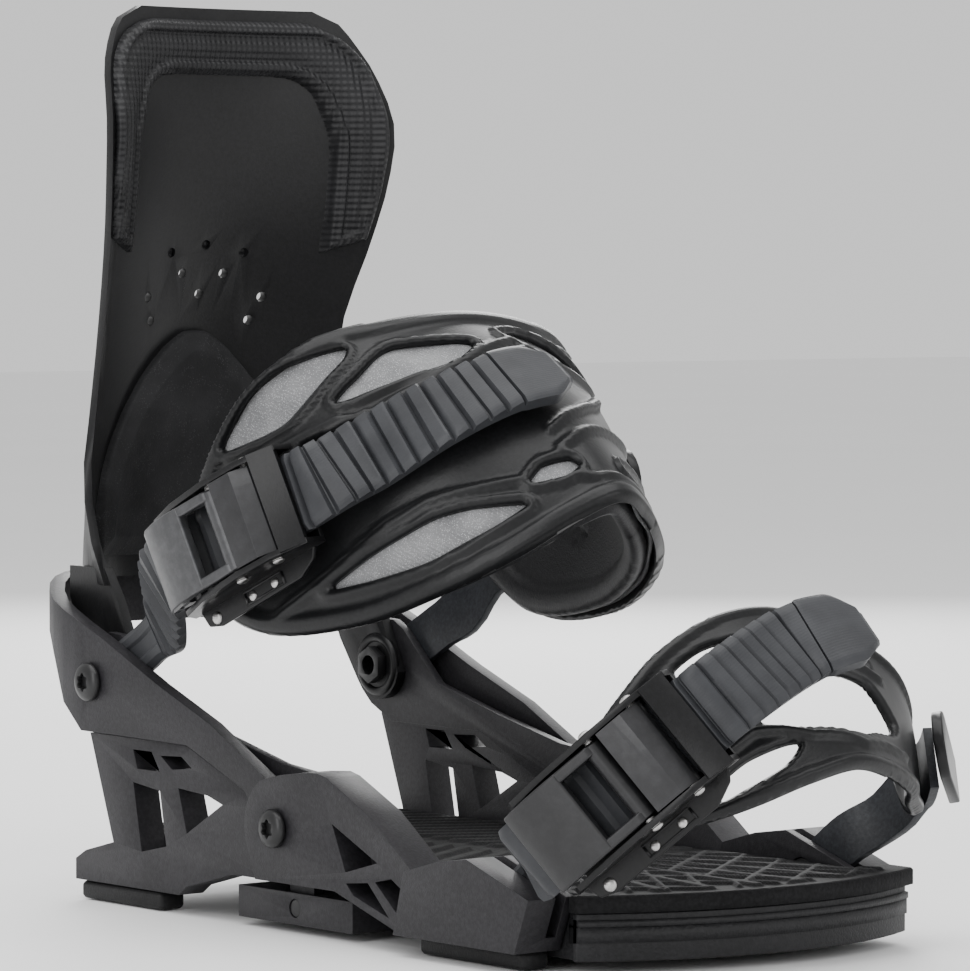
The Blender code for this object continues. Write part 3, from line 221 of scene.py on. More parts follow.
def ladder_nylon():
    """Blue-grey nylon with fine drawn lines along the strip."""
    look = Look("ladder_nylon", 0.40)
    along = look.out(look.node("ShaderNodeUVMap", {"uv_map": "along"}))
    across = look.out(look.node("ShaderNodeSeparateXYZ", None, {0: along}), "Y")
    lines = (across * 7600.0 + look.noise(120.0) * 3.0).wave()
    broad = look.noise(85.0, 5.0)
    look.colour(look.tint(broad.over(0.3, 0.7), (0.0250, 0.0260, 0.0290), (0.0385, 0.0400, 0.0440)))
    look.roughness(0.34 + 0.16 * look.noise(260.0, 4.0))
    look.bump(lines * 0.5, 0.000012)
    look.bump(look.noise(1500.0, 3.0), 0.00004)
    return look.material


def metal(name, colour, roughness, scratch):
    """Bare steel with fine turning lines and dull patches."""
    look = Look(name, roughness, metallic=1.0)
    z = look.part_of_place()[2]
    lines = look.noise(3000.0, 2.0, 0.5) * 0.5 + (z * 9000.0 + look.noise(300.0) * 8.0).wave() * 0.25
    wear = look.noise(350.0, 5.0, 0.7)
    look.colour(look.tint(wear.over(0.3, 0.7), *shades(colour, 0.6, 1.0)))
    look.roughness(roughness + 0.2 * wear)
    look.bump(lines, scratch)
    return look.material


def lacquered(name, colour, roughness):
    """Painted or oxidised metal with a soft satin and small chips of shade."""
    look = Look(name, roughness, metallic=0.35, coat=0.15)
    wear = look.noise(300.0, 6.0, 0.7)
    look.colour(look.tint(wear.over(0.35, 0.75), *shades(colour, 1.0, 1.7)))
    look.roughness(roughness + 0.18 * look.noise(120.0, 4.0))
    look.bump(look.noise(1600.0, 3.0), 0.00003)
    return look.material


CHARCOAL = moulded("glass_filled_nylon", (0.0155, 0.0148, 0.0168), 0.46, 2600.0, 0.00005)
SMOOTH = moulded("highback_nylon", (0.0075, 0.0075, 0.0080), 0.40, 1500.0, 0.00003, 1.3)
BUCKLE = moulded("buckle_nylon", (0.0055, 0.0055, 0.0060), 0.30, 2200.0, 0.00002)
TREAD_RUBBER = moulded("tread_rubber", (0.0100, 0.0100, 0.0106), 0.72, 1100.0, 0.00012, gloss=0.10)
RAMP_RUBBER = moulded("ramp_rubber", (0.0120, 0.0120, 0.0130), 0.50, 1500.0, 0.00012)
BUSHING = moulded("bushing_rubber", (0.0095, 0.0095, 0.0100), 0.58, 1800.0, 0.00008)
STRAP = moulded("strap_skin", (0.0070, 0.0072, 0.0078), 0.34, 1300.0, 0.00003, 1.4)
LINER = moulded("liner_foam", (0.0170, 0.0170, 0.0182), 0.48, 1900.0, 0.00010)
CONNECTOR = moulded("connector_nylon", (0.0225, 0.0240, 0.0275), 0.42, 1500.0, 0.00004)
PAD_GRAIN = pad_look("cushion_rubber", (0.0110, 0.0110, 0.0120), 1700.0, 0.00050, 0.42)
HEEL_FOAM = speckled_foam("heel_pad_foam", (0.0205, 0.0205, 0.0215), 1500.0)
FOOT_FOAM = speckled_foam("footbed_foam", (0.0110, 0.0110, 0.0115), 1300.0)
CLOTH = glitter_cloth()
LADDER_LOOK = ladder_nylon()
BLACK_STEEL = lacquered("black_steel", (0.0070, 0.0070, 0.0075), 0.34)
ANKLE_PADDLE = lacquered("paddle_grey", (0.0420, 0.0425, 0.0450), 0.32)
TOE_PADDLE = lacquered("paddle_black", (0.0105, 0.0105, 0.0115), 0.30)
BLOCK_GREY = lacquered("block_grey", (0.0160, 0.0160, 0.0175), 0.30)
STEEL = metal("rivet_steel", (0.62, 0.61, 0.60), 0.26, 0.00003)

# ---------------------------------------------------------------- making meshes


def ride(piece, body, slot, *stands_for):
    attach(piece, body)
    if stands_for:
        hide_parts(*stands_for)
    return piece


def mesh_object(name, mesh, look):
    obj = bpy.data.objects.new(name, mesh)
    SCENE.collection.objects.link(obj)
    mesh.materials.clear()
    mesh.materials.append(look)
    return obj


def evaluated(obj):
    """A plain mesh of the object with its modifiers worked in; the object goes."""
    graph = bpy.context.evaluated_depsgraph_get()
    mesh = bpy.data.meshes.new_from_object(obj.evaluated_get(graph))
    bpy.data.objects.remove(obj)
    return mesh


def mesh_of(points, faces, smooth=True):
    """A mesh of the given faces, with its doubles merged and its faces turned outwards."""
    mesh = bpy.data.meshes.new("mesh")
    mesh.from_pydata([tuple(p) for p in points], [], faces)
    work = bmesh.new()
    work.from_mesh(mesh)
    bmesh.ops.remove_doubles(work, verts=work.verts, dist=1e-6)
    bmesh.ops.recalc_face_normals(work, faces=work.faces)
    if work.calc_volume(signed=True) < 0:
        bmesh.ops.reverse_faces(work, faces=work.faces)
    work.to_mesh(mesh)
    work.free()
    if smooth:
        mesh.shade_smooth()
    return mesh


def bevelled(obj, name, look, width, segments, angle, corners="MITER_SHARP"):
    """The object with every edge sharper than the angle rounded, as a new plain object."""
    obj.data.shade_smooth()
    bevel = obj.modifiers.new("edges", "BEVEL")
    bevel.width = width
    bevel.segments = segments
    bevel.limit_method = "ANGLE"
    bevel.angle_limit = math.radians(angle)
    bevel.harden_normals = True
    bevel.miter_outer = corners
    return mesh_object(name, evaluated(obj), look)


def rounded(mesh, name, look, width, segments=3, angle=30):
    return bevelled(mesh_object(name, mesh, look), name, look, width, segments, angle)


def join_and_flatten(mesh):
    work = bmesh.new()
    work.from_mesh(mesh)
    bmesh.ops.remove_doubles(work, verts=work.verts, dist=2e-6)
    bmesh.ops.dissolve_limit(work, angle_limit=math.radians(1.2), verts=work.verts, edges=work.edges)
    work.to_mesh(mesh)
    work.free()


def softened(node, name, look, width=0.0007, segments=3, angle=32, cutter=None):
    """A CAD node's shape with its loose triangles joined, cut by the cutter, and its edges rounded."""
    obj = mesh_object(name, NODES[node].data.copy(), look)
    if cutter:
        join_and_flatten(obj.data)
        cut = obj.modifiers.new("cut", "BOOLEAN")
        cut.object = cutter
        cut.solver = "EXACT"
        graph = bpy.context.evaluated_depsgraph_get()
        obj.data = bpy.data.meshes.new_from_object(obj.evaluated_get(graph))
        obj.modifiers.clear()
        bpy.data.objects.remove(cutter)
    join_and_flatten(obj.data)
    return bevelled(obj, name, look, width, segments, angle, "MITER_ARC")


def kept_shapes(body, rows):
    """Pieces on one body that keep their CAD shape: (node, name, look, slot, edge rounding) each. The slot is
    not used.
    """
    for node, name, look, slot, *rounding in rows:
        ride(softened(node, name, look, *rounding), body, slot, node)


def shell_mesh(top, low, keep=None):
    """A closed mesh between two grids of points, walled round every edge of the kept cells."""
    rows, columns = top.shape[:2]
    count = rows * columns
    if keep is None:
        keep = np.ones((rows - 1, columns - 1), bool)
    corners = [i * columns + j for i, j in np.argwhere(keep).tolist()]
    over = [(a, a + 1, a + columns + 1, a + columns) for a in corners]
    under = [tuple(i + count for i in reversed(face)) for face in over]
    edges = {pair: True for face in over for pair in zip(face, face[1:] + face[:1])}
    walls = [(b, a, a + count, b + count) for a, b in edges if (b, a) not in edges]
    points = np.concatenate([top.reshape(-1, 3), low.reshape(-1, 3)])
    faces = [*over, *under, *walls]
    used = sorted({i for face in faces for i in face})
    place_of = {old: new for new, old in enumerate(used)}
    return mesh_of(points[used], [tuple(place_of[i] for i in face) for face in faces])


def loft_mesh(rings):
    """A closed mesh through rings of the same number of points."""
    count, last = len(rings[0]), len(rings) - 1
    faces = []
    for i in range(last):
        for j in range(count):
            a, b = i * count + j, i * count + (j + 1) % count
            faces.append((a, b, b + count, a + count))
    faces += [tuple(range(count)), tuple(last * count + j for j in range(count))]
    return mesh_of([point for ring in rings for point in ring], faces)


def smooth_path(points, steps):
    """Points along a smooth curve through the given ones, which may be near together or far apart."""
    points = [Vector(point) for point in points]
    ends = [points[0] * 2 - points[1], *points, points[-1] * 2 - points[-2]]
    path = []
    for a, b, c, d in zip(ends, ends[1:], ends[2:], ends[3:]):
        before, here, after = (math.sqrt(run.length) for run in (b - a, c - b, d - c))
        leave = c - b + ((b - a) / before - (c - a) / (before + here)) * here
        arrive = c - b + ((d - c) / after - (d - b) / (here + after)) * here
        for t in (i / steps for i in range(steps)):
            curve = b + (c - b) * t**2 * (3 - 2 * t)
            path.append(curve + leave * t * (1 - t) ** 2 - arrive * t**2 * (1 - t))
    return [*path, points[-1]]


def corners_cut(outline, times):
    """A closed outline with its corners cut again and again, so that they turn round and its sides stay."""
    found = np.array(outline, float)
    for i in range(times):
        share = 0.14 if i == 0 else 0.25
        after = np.roll(found, -1, axis=0)
        pair = np.stack([found * (1 - share) + after * share, found * share + after * (1 - share)], 1)
        found = pair.reshape(-1, 2)
    return found


def both_sides(left):
    """A closed outline from its left half, listed bottom to top."""
    return [*left, *((-x, y) for x, y in reversed(left))]


def nearest_on(places, start, end):
    """The points of a straight line that lie nearest to 2D places, and their distances."""
    run = np.array(end) - np.array(start)
    t = np.clip(((places - start) @ run) / max(run @ run, 1e-18), 0, 1)
    spot = np.array(start) + t[:, None] * run
    return spot, np.linalg.norm(places - spot, axis=1)


def outline_distance(places, outline):
    """Distance of 2D places inside a closed outline, negative outside, and the nearest point on it."""
    a = np.array(outline, float)
    best = np.full(len(places), 1e9)
    nearest = places.copy()
    inside = np.zeros(len(places), bool)
    for start, end in zip(a, np.roll(a, -1, axis=0)):
        spot, gap = nearest_on(places, start, end)
        closer = gap < best
        best[closer] = gap[closer]
        nearest[closer] = spot[closer]
        crosses = (start[1] > places[:, 1]) != (end[1] > places[:, 1])
        rise = end[1] - start[1] if end[1] != start[1] else 1e-18
        inside ^= crosses & (places[:, 0] < (end[0] - start[0]) * (places[:, 1] - start[1]) / rise + start[0])
    return np.where(inside, best, -best), nearest


def line_distance(places, line):
    """Distance of 2D places from an open line."""
    return np.minimum.reduce([nearest_on(places, start, end)[1] for start, end in zip(line, line[1:])])


def cut_grid(low, high, counts, outline, openings=()):
    """A grid of 2D places cut to an outline and its openings, whose edge places lie on them.

    Gives the places, their distances from the outline and from any edge, the kept cells and the shape."""
    u, w = np.meshgrid(*(np.linspace(low[i], high[i], counts[i]) for i in (0, 1)))
    places = np.stack([u.ravel(), w.ravel()], -1)
    rim, nearest = outline_distance(places, outline)
    edge = rim.copy()
    for opening in openings:
        hole, spot = outline_distance(places, opening)
        closer = np.abs(hole) < np.abs(edge)
        nearest[closer] = spot[closer]
        edge = np.minimum(edge, -hole)
    rows, columns = u.shape
    grid = edge.reshape(rows, columns)
    keep = (grid[:-1, :-1] + grid[1:, :-1] + grid[:-1, 1:] + grid[1:, 1:]) > 0
    touched = np.zeros((rows, columns), int)
    for di, dj in ((0, 0), (0, 1), (1, 0), (1, 1)):
        touched[di:di + rows - 1, dj:dj + columns - 1] += keep
    border = ((touched > 0) & (touched < 4)).ravel()
    places[border] = nearest[border]
    edge[border] = 0
    return places, np.maximum(rim, 0), np.maximum(edge, 0), keep, (rows, columns, 3)


def step(value, low, high):
    t = np.clip((value - low) / (high - low), 0, 1)
    return t * t * (3 - 2 * t)


def dome(distance, radius):
    """A rounded shoulder: 0 at an edge, 1 once the distance passes the radius."""
    t = np.clip(distance / radius, 0, 1)
    return np.sqrt(np.clip(1 - (1 - t) ** 2, 0, 1))


def prism(outline, low, high, matrix):
    """A flat closed outline in X and Y made thick along Z, then placed."""
    count = len(outline)
    points = [matrix @ Vector((x, y, height)) for height in (low, high) for x, y in outline]
    faces = [tuple(range(count)), tuple(range(count, 2 * count))]
    faces += [(i, (i + 1) % count, count + (i + 1) % count, count + i) for i in range(count)]
    return mesh_of(points, faces, smooth=False)


def joined(name, meshes, look):
    """One mesh object from several closed meshes."""
    work = bmesh.new()
    for mesh in meshes:
        work.from_mesh(mesh)
    made = bpy.data.meshes.new(name)
    work.to_mesh(made)
    work.free()
    made.shade_smooth()
    return mesh_object(name, made, look)


# ---------------------------------------------------------------- repeats


def repeat_tree(name):
    """Geometry nodes: the same piece on every point, turned and sized by the points' own values."""
    tree = bpy.data.node_groups.new(name, "GeometryNodeTree")
    inputs = {"Points": "Geometry", "Piece": "Object", "Size": "Float", "Finish": "Material"}
    for label, kind in inputs.items():
        tree.interface.new_socket(label, in_out="INPUT", socket_type=f"NodeSocket{kind}")
    tree.interface.new_socket("Pieces", in_out="OUTPUT", socket_type="NodeSocketGeometry")
    kinds = {
        "given": "NodeGroupInput",
        "piece": "GeometryNodeObjectInfo",
        "turn": "GeometryNodeInputNamedAttribute",
        "stretch": "GeometryNodeInputNamedAttribute",
        "sized": "ShaderNodeVectorMath",
        "put": "GeometryNodeInstanceOnPoints",
        "real": "GeometryNodeRealizeInstances",
        "finish": "GeometryNodeSetMaterial",
        "result": "NodeGroupOutput",
    }
    made = {label: tree.nodes.new(kind) for label, kind in kinds.items()}
    made["piece"].transform_space = "ORIGINAL"
    made["sized"].operation = "SCALE"
    for label in ("turn", "stretch"):
        made[label].data_type = "FLOAT_VECTOR"
        made[label].inputs["Name"].default_value = label
    for start, out, end, into in (
        ("given", "Points", "put", "Points"),
        ("given", "Piece", "piece", "Object"),
        ("piece", "Geometry", "put", "Instance"),
        ("turn", "Attribute", "put", "Rotation"),
        ("stretch", "Attribute", "sized", 0),
        ("given", "Size", "sized", "Scale"),
        ("sized", 0, "put", "Scale"),
        ("put", 0, "real", 0),
        ("real", 0, "finish", "Geometry"),
        ("given", "Finish", "finish", "Material"),
        ("finish", 0, "result", 0),
    ):
        tree.links.new(made[start].outputs[out], made[end].inputs[into])
    return tree


REPEAT = repeat_tree("same_piece_on_points")


def repeated(name, piece, places, look):
    """Puts the piece's mesh at each placement matrix, with its stretch, through the node tree."""
    pattern = bpy.data.objects.new("pattern", piece)
    points = bpy.data.meshes.new("points")
    points.from_pydata([matrix.translation for matrix, _ in places], [], [])
    turns = [matrix.to_3x3().normalized().to_euler("XYZ") for matrix, _ in places]
    for label, rows in (("turn", turns), ("stretch", [sizes for _, sizes in places])):
        values = points.attributes.new(label, "FLOAT_VECTOR", "POINT").data
        values.foreach_set("vector", [value for row in rows for value in row])
    obj = bpy.data.objects.new(name, points)
    SCENE.collection.objects.link(obj)
    modifier = obj.modifiers.new("repeat", "NODES")
    modifier.node_group = REPEAT
    given = {"Piece": pattern, "Size": 1.0, "Finish": look}
    for item in REPEAT.interface.items_tree:
        if item.name in given:
            modifier[item.identifier] = given[item.name]
    mesh = evaluated(obj)
    bpy.data.objects.remove(pattern)
    mesh.shade_smooth()
    return mesh_object(name, mesh, look)


def axes(forward, up, place_at):
    """A placement with Z along up, X as near forward as it can be."""
    z = Vector(up).normalized()
    x = Vector(forward)
    x = (x - z * x.dot(z)).normalized()
    turn = Matrix((x, z.cross(x), z)).transposed()
    return Matrix.Translation(place_at) @ turn.to_4x4()


def turned_mesh(profile, segments=28, radius_at=None):
    """A body turned round Z from (radius, height) pairs; radius_at(angle, index) may reshape a ring."""
    rings = []
    for i, (radius, height) in enumerate(profile):
        ring = []
        for angle in (2 * math.pi * j / segments for j in range(segments)):
            here = radius * (radius_at(angle, i) if radius_at else 1)
            ring.append((here * math.cos(angle), here * math.sin(angle), height))
        rings.append(ring)
    return loft_mesh(rings)


def star_screw(radius, height, socket, depth):
    """Button head with a six-lobed socket, standing on Z = 0."""
    dome_profile = [(0.9, 0), (1, 0.12), (1, 0.35), (0.93, 0.62), (0.78, 0.86), (0.60, 0.97)]
    profile = [(radius * r, height * h) for r, h in dome_profile]
    profile += [(socket * 1.25, height), (socket * 1.06, height)]
    profile += [(socket, height - 0.0002), (socket * 0.97, height - depth)]
    first_lobed = 7

    def lobes(angle, i):
        return 1 + (0.15 * math.cos(6 * angle) if i >= first_lobed else 0)

    mesh = turned_mesh(profile, 48, lobes)
    mesh.set_sharp_from_angle(angle=math.radians(50))
    return mesh



# ---------------------------------------------------------------- the straps' and the back's own curves

BOOT_HALF = 0.0450  # half the clear width between the highback's ears
EAR = 0.0030  # highback wall
BACK_TOP = 0.2580
BACK_SECTIONS = [
    (0.0500, BOOT_HALF + EAR / 2, 0.0830, 0.1270),
    (0.0630, BOOT_HALF + EAR / 2, 0.0760, 0.1290),
    (0.0780, BOOT_HALF + EAR / 2, 0.0860, 0.1300),
    (0.0900, BOOT_HALF + EAR / 2, 0.0940, 0.1300),
    (0.1030, 0.0465, 0.1010, 0.1290),
    (0.1200, 0.0460, 0.1060, 0.1265),
    (0.1400, 0.0440, 0.1060, 0.1235),
    (0.1650, 0.0435, 0.1025, 0.1185),
    (0.1900, 0.0475, 0.0935, 0.1120),
    (0.2100, 0.0505, 0.0880, 0.1085),
    (0.2250, 0.0510, 0.0870, 0.1065),
    (0.2400, 0.0480, 0.0925, 0.1052),
    (0.2500, 0.0430, 0.0970, 0.1048),
    (0.2550, 0.0385, 0.0990, 0.1046),
    (BACK_TOP, 0.0310, 0.1010, 0.1045),
]
ANKLE_REAR = [(0, 0, -0.0060, 0.1690), (0.2, 0.0200, -0.0040, 0.1675), (0.4, 0.0400, 0.0030, 0.1635), (
    0.55, 0.0510, 0.0100, 0.1560), (0.7, 0.0560, 0.0220, 0.1460), (0.85, 0.0570, 0.0360, 0.1290), (
    1, 0.0540, 0.0500, 0.1060)]
ANKLE_FRONT = [(0, 0, -0.0790, 0.1200), (0.2, 0.0110, -0.0750, 0.1155), (0.4, 0.0260, -0.0640, 0.1040), (
    0.55, 0.0380, -0.0460, 0.0930), (0.7, 0.0460, -0.0220, 0.0830), (0.85, 0.0510, 0.0120, 0.0775), (
    1, 0.0520, 0.0420, 0.0860)]
TOE_REAR = [(0, 0, -0.1295, 0.0925), (0.25, 0.0160, -0.1290, 0.0900), (0.45, 0.0340, -0.1315, 0.0830), (
    0.6, 0.0460, -0.1335, 0.0750), (0.8, 0.0540, -0.1300, 0.0640), (1, 0.0560, -0.1215, 0.0500)]
TOE_FRONT = [(0, 0, -0.1715, 0.0540), (0.25, 0.0140, -0.1690, 0.0510), (0.45, 0.0270, -0.1630, 0.0455), (
    0.6, 0.0350, -0.1540, 0.0410), (0.8, 0.0470, -0.1430, 0.0360), (1, 0.0540, -0.1330, 0.0340)]
ANKLE = {
    "edges": (ANKLE_REAR, ANKLE_FRONT),
    "inside": (0, 0.030, 0.070),
    "bulge": 0.0050,
    "buckle_share": -0.76,
    "buckle_reach": 0.14,
    "buckle_turn": (0, 0, 0),
    "ladder_start": 0.12,
}
TOE = {
    "edges": (TOE_REAR, TOE_FRONT),
    "inside": (0, -0.100, 0.030),
    "bulge": 0.0030,
    "buckle_share": -0.74,
    "buckle_reach": 0.18,
    "buckle_turn": (-0.20, -0.10, 0.08),
    "ladder_start": 0.40,
}
ANKLE_PIVOT = (0.0880, 0.0630)
TOE_PIVOT = (-0.0970, 0.0165)
PANEL_OUT = 0.0510  # outer face of the side rails' inner panel
STRAP_SLOT = 0.0034  # gap that takes the strap ends
LADDER = 0.0024
LADDER_WIDTH = 0.0220
ROOT_WIDTH = 0.0140
ROOT_LENGTH = (0.026, 0.040)  # where a strip widens from its root
BUCKLE_REAR = -0.0290
BUCKLE_FRONT = 0.0270
LADDER_LIFT = 0.0034  # ladder's middle over the buckle's underside
LEVER_PIN = (0.0020, 0.0100)
RELEASE_PIN = (0.0160, 0.0085)
BUCKLE_HALF_WIDTH = 0.0145


def ease(value, low, high):
    """0 below the low value, 1 above the high one, and smooth between them."""
    t = min(max((value - low) / (high - low), 0), 1)
    return t * t * (3 - 2 * t)


def between(a, b, c, d, t):
    """A smooth value from b to c, given the ones before and after."""
    return b + ((c - a) * t + (a * 2 - b * 5 + c * 4 - d) * t**2 + (b * 3 - a - c * 3 + d) * t**3) / 2


def back_section(height):
    """Half width, front edge and centre line of the highback at a height, smooth between the given rows."""
    last = max(i for i in range(len(BACK_SECTIONS) - 1) if BACK_SECTIONS[i][0] <= height + 1e-9)
    rows = [BACK_SECTIONS[min(max(i, 0), len(BACK_SECTIONS) - 1)] for i in range(last - 1, last + 3)]
    t = (height - rows[1][0]) / (rows[2][0] - rows[1][0])
    return [between(*stretch, t) for stretch in zip(*(row[1:] for row in rows))]


def back_point(across, height, offset=0.0):
    """A point of the highback's face; across runs from -1 to 1, and the offset is towards the heel."""
    half, edge, centre = back_section(height)
    squareness = 2 + 3 * (1 - ease(height, 0.080, 0.130))
    depth = (centre - edge) * abs(across) ** squareness
    spread = ease(abs(across), 0.45, 1.0) * (1 - ease(height, 0.095, 0.150))
    side = math.copysign(1, across) * offset * spread
    back = offset * (1 - ease(abs(across), 0.75, 1.0) * (1 - ease(height, 0.095, 0.150)))
    return Vector((half * across + side, centre - depth + back, height))


def on_edge(edge, share):
    """Smooth point on one of the strap's outer edges; a negative share is on the left."""
    size = abs(share)
    stops = [row[0] for row in edge]
    last = max(i for i in range(len(stops) - 1) if stops[i] <= size + 1e-9)
    rows = [Vector(row[1:]) for row in edge]
    before = rows[last - 1] if last else Vector((-rows[1].x, rows[1].y, rows[1].z))
    after = rows[last + 2] if last + 2 < len(rows) else rows[-1] * 2 - rows[-2]
    t = (size - stops[last]) / (stops[last + 1] - stops[last])
    point = between(before, rows[last], rows[last + 1], after, t)
    if share < 0:
        point.x = -point.x
    return point


def strap_frame(edges, share, crown):
    """Rear edge, front edge and outward direction of the strap at a share of its half length."""
    rear, front = (on_edge(edge, share) for edge in edges)
    reach = 0.02
    ahead = sum((on_edge(edge, min(share + reach, 1)) for edge in edges), Vector())
    behind = sum((on_edge(edge, max(share - reach, -1)) for edge in edges), Vector())
    outward = (ahead - behind).cross(rear - front).normalized()
    if outward.dot((rear + front) / 2 - Vector(crown)) < 0:
        outward = -outward
    return rear, front, outward


def strap_point(strap, share, across, lift=0.0):
    """A point of the strap: across runs from the rear edge (0) to the front edge (1), lift is outward."""
    rear, front, outward = strap_frame(strap["edges"], share, strap["inside"])
    bulge = strap["bulge"] * (1 - 0.7 * abs(share)) * 4 * across * (1 - across)
    return rear + (front - rear) * across + outward * (bulge + lift)


def buckle_matrix(strap, share, lift, reach):
    """Frame on the left-hand side of the strap: x towards the crown, z outward."""
    ahead = strap_point(strap, share + reach, 0.5)
    behind = strap_point(strap, share - reach, 0.5)
    forward = ((ahead - behind).normalized() + Vector(strap["buckle_turn"])).normalized()
    middle = (ahead + behind) / 2
    outward = strap_frame(strap["edges"], share, strap["inside"])[2]
    outward = (outward - forward * outward.dot(forward)).normalized()
    side = outward.cross(forward)
    surface = strap_point(strap, share, 0.5)
    origin = middle + outward * ((surface - middle).dot(outward) + lift)
    return Matrix.Translation(origin) @ Matrix((forward, side, outward)).transposed().to_4x4()


def strap_root(pivot, slot_middle, offsets):
    """Points from the strap's bolt out of its slot: offsets are (along -Y, up, outward) from the bolt."""
    y, z = pivot
    return [Vector((-slot_middle - out, y - ahead, z + up)) for ahead, up, out in offsets]



# ---------------------------------------------------------------- camera, light, floor


DISTANCE = 1.4645  # from the camera to the point it looks at
TURN, TILT = math.radians(-38.89), math.radians(2.48)


def aimed(obj, toward):
    obj.rotation_mode = "QUATERNION"
    obj.rotation_quaternion = toward.to_track_quat("-Z", "Y")
    SCENE.collection.objects.link(obj)


def camera():
    data = bpy.data.cameras.new("camera")
    data.lens = 193.5
    data.sensor_width = 36
    data.clip_end = 20
    obj = bpy.data.objects.new("camera", data)
    back = Vector((math.sin(TURN) * math.cos(TILT), -math.cos(TURN) * math.cos(TILT), math.sin(TILT)))
    aim = Vector((0.01229 * math.cos(TURN), 0.01229 * math.sin(TURN), 0.12081))
    obj.location = aim + back * DISTANCE
    aimed(obj, -back)
    SCENE.camera = obj


def soft_light(name, place_at, aim, size, power):
    data = bpy.data.lights.new(name, "AREA")
    data.shape = "RECTANGLE"
    data.size, data.size_y = size
    data.energy = power
    obj = bpy.data.objects.new(name, data)
    obj.location = place_at
    aimed(obj, Vector(aim) - Vector(place_at))


def studio():
    world = bpy.data.worlds.new("studio")
    SCENE.world = world
    world.use_nodes = True
    world.node_tree.nodes["Background"].inputs[0].default_value = (1, 1, 1, 1)
    world.node_tree.nodes["Background"].inputs[1].default_value = 0.92
    soft_light("top_box", (-0.15, -0.10, 1.15), (0, 0, 0.10), (1.3, 1.1), 13)
    soft_light("left_box", (-1.15, -0.35, 0.55), (0, 0, 0.11), (0.5, 1.1), 7)
    soft_light("front_box", (0.10, -1.35, 0.45), (0, -0.05, 0.10), (0.9, 0.45), 3)
    soft_light("rear_box", (0.70, 0.85, 0.65), (0, 0.05, 0.13), (0.5, 0.9), 9)
    corners = [(x * 6, y * 6, -0.0004) for x, y in ((-1, -1), (1, -1), (1, 1), (-1, 1))]
    floor_mesh = mesh_of(corners, [(0, 1, 2, 3)], smooth=False)
    look = Look("pale_floor", 0.75)
    look.colour(look.tint(look.noise(3.0, 2.0), (0.88, 0.88, 0.88), (0.92, 0.92, 0.92)))
    floor = mesh_object("floor", floor_mesh, look.material)


camera()
studio()

# ---------------------------------------------------------------- base

HEAD_PROUD = 0.0024  # height of a side screw's head


def base_pieces():
    kept_shapes("base", [
        ("side_rail_left", "rail_left", CHARCOAL, "charcoal_nylon", 0.0008),
        ("side_rail_right", "rail_right", CHARCOAL, "charcoal_nylon", 0.0008),
        ("heelcup", "heelcup_arms", CHARCOAL, "charcoal_nylon", 0.0011, 4),
        ("base_floor", "floor_plate", CHARCOAL, "charcoal_nylon", 0.0004),
    ])
    kept_shapes("chassis", [
        ("chassis", "pivot_chassis", CHARCOAL, "charcoal_nylon", 0.0006),
        ("mounting_disc", "board_disc", BUCKLE, "black_nylon", 0.0004),
        ("kingpin_left", "pivot_pin_left", BLACK_STEEL, "steel", 0.0003),
        ("kingpin_right", "pivot_pin_right", BLACK_STEEL, "steel", 0.0003),
    ])
    for place in ("heel_left", "toe_left", "heel_right", "toe_right"):
        node = f"bushing_{place}"
        foot = ride(softened(node, f"foot_{place}", BUSHING, 0.0008), "chassis", "bushing_rubber", node)
        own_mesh(foot)


def screw_place(node):
    """The foot of a side screw's head, with Z along the way that it looks."""
    low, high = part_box(node)
    middle = (low + high) / 2
    out = 1 if middle.x > 0 else -1
    face = (high.x if out > 0 else low.x) - out * HEAD_PROUD
    return axes((0, 0, 1), (out, 0, 0), (face, middle.y, middle.z))


def screws(name, body, head, shank, places, *nodes):
    """Screws of one kind, each a head on a shank, in place of the given nodes."""
    screw = joined("screw", [head, turned_mesh(*shank)], BLACK_STEEL)
    heads = repeated(name, screw.data, [(place, (1, 1, 1)) for place in places], BLACK_STEEL)
    bpy.data.objects.remove(screw)
    ride(heads, body, "black_steel", *nodes)


def fasteners():
    for side in ("left", "right"):
        for name, radius in (("ankle_bolt", 0.0056), ("hub_screw", 0.0054)):
            node = f"{name}_{side}"
            head = star_screw(radius, 0.0026, 0.0023, 0.0016)
            shank = ([(0.0021, -0.012), (0.0021, 0.0002)], 16)
            screws(f"{name}_head_{side}", "base", head, shank, [screw_place(node)], node)
        kept_shapes("base", [
            (f"ankle_nut_{side}", f"hex_ankle_nut_{side}", BLACK_STEEL, "black_steel", 0.0004),
            (f"hub_nut_{side}", f"hex_hub_nut_{side}", BLACK_STEEL, "black_steel", 0.0004),
            (f"toe_bolt_{side}", f"toe_screw_{side}", BLACK_STEEL, "black_steel", 0.0002),
        ])
    nodes = [f"disc_screw_{i}" for i in (1, 2, 3, 4)]
    places = []
    for node in nodes:
        low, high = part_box(node)
        middle = (low + high) / 2
        places.append(axes((1, 0, 0), (0, 0, 1), (middle.x, middle.y, high.z - 0.0020)))
    shank = ([(0.0028, -0.0035), (0.0028, 0.0002)], 20)
    screws("disc_screw_heads", "chassis", star_screw(0.0058, 0.0020, 0.0024, 0.0014), shank, places, *nodes)


# ---------------------------------------------------------------- foot surfaces

RIB_HEIGHT = 0.0009
SHOULDER = 0.0006  # how far a plate's edge is rounded down

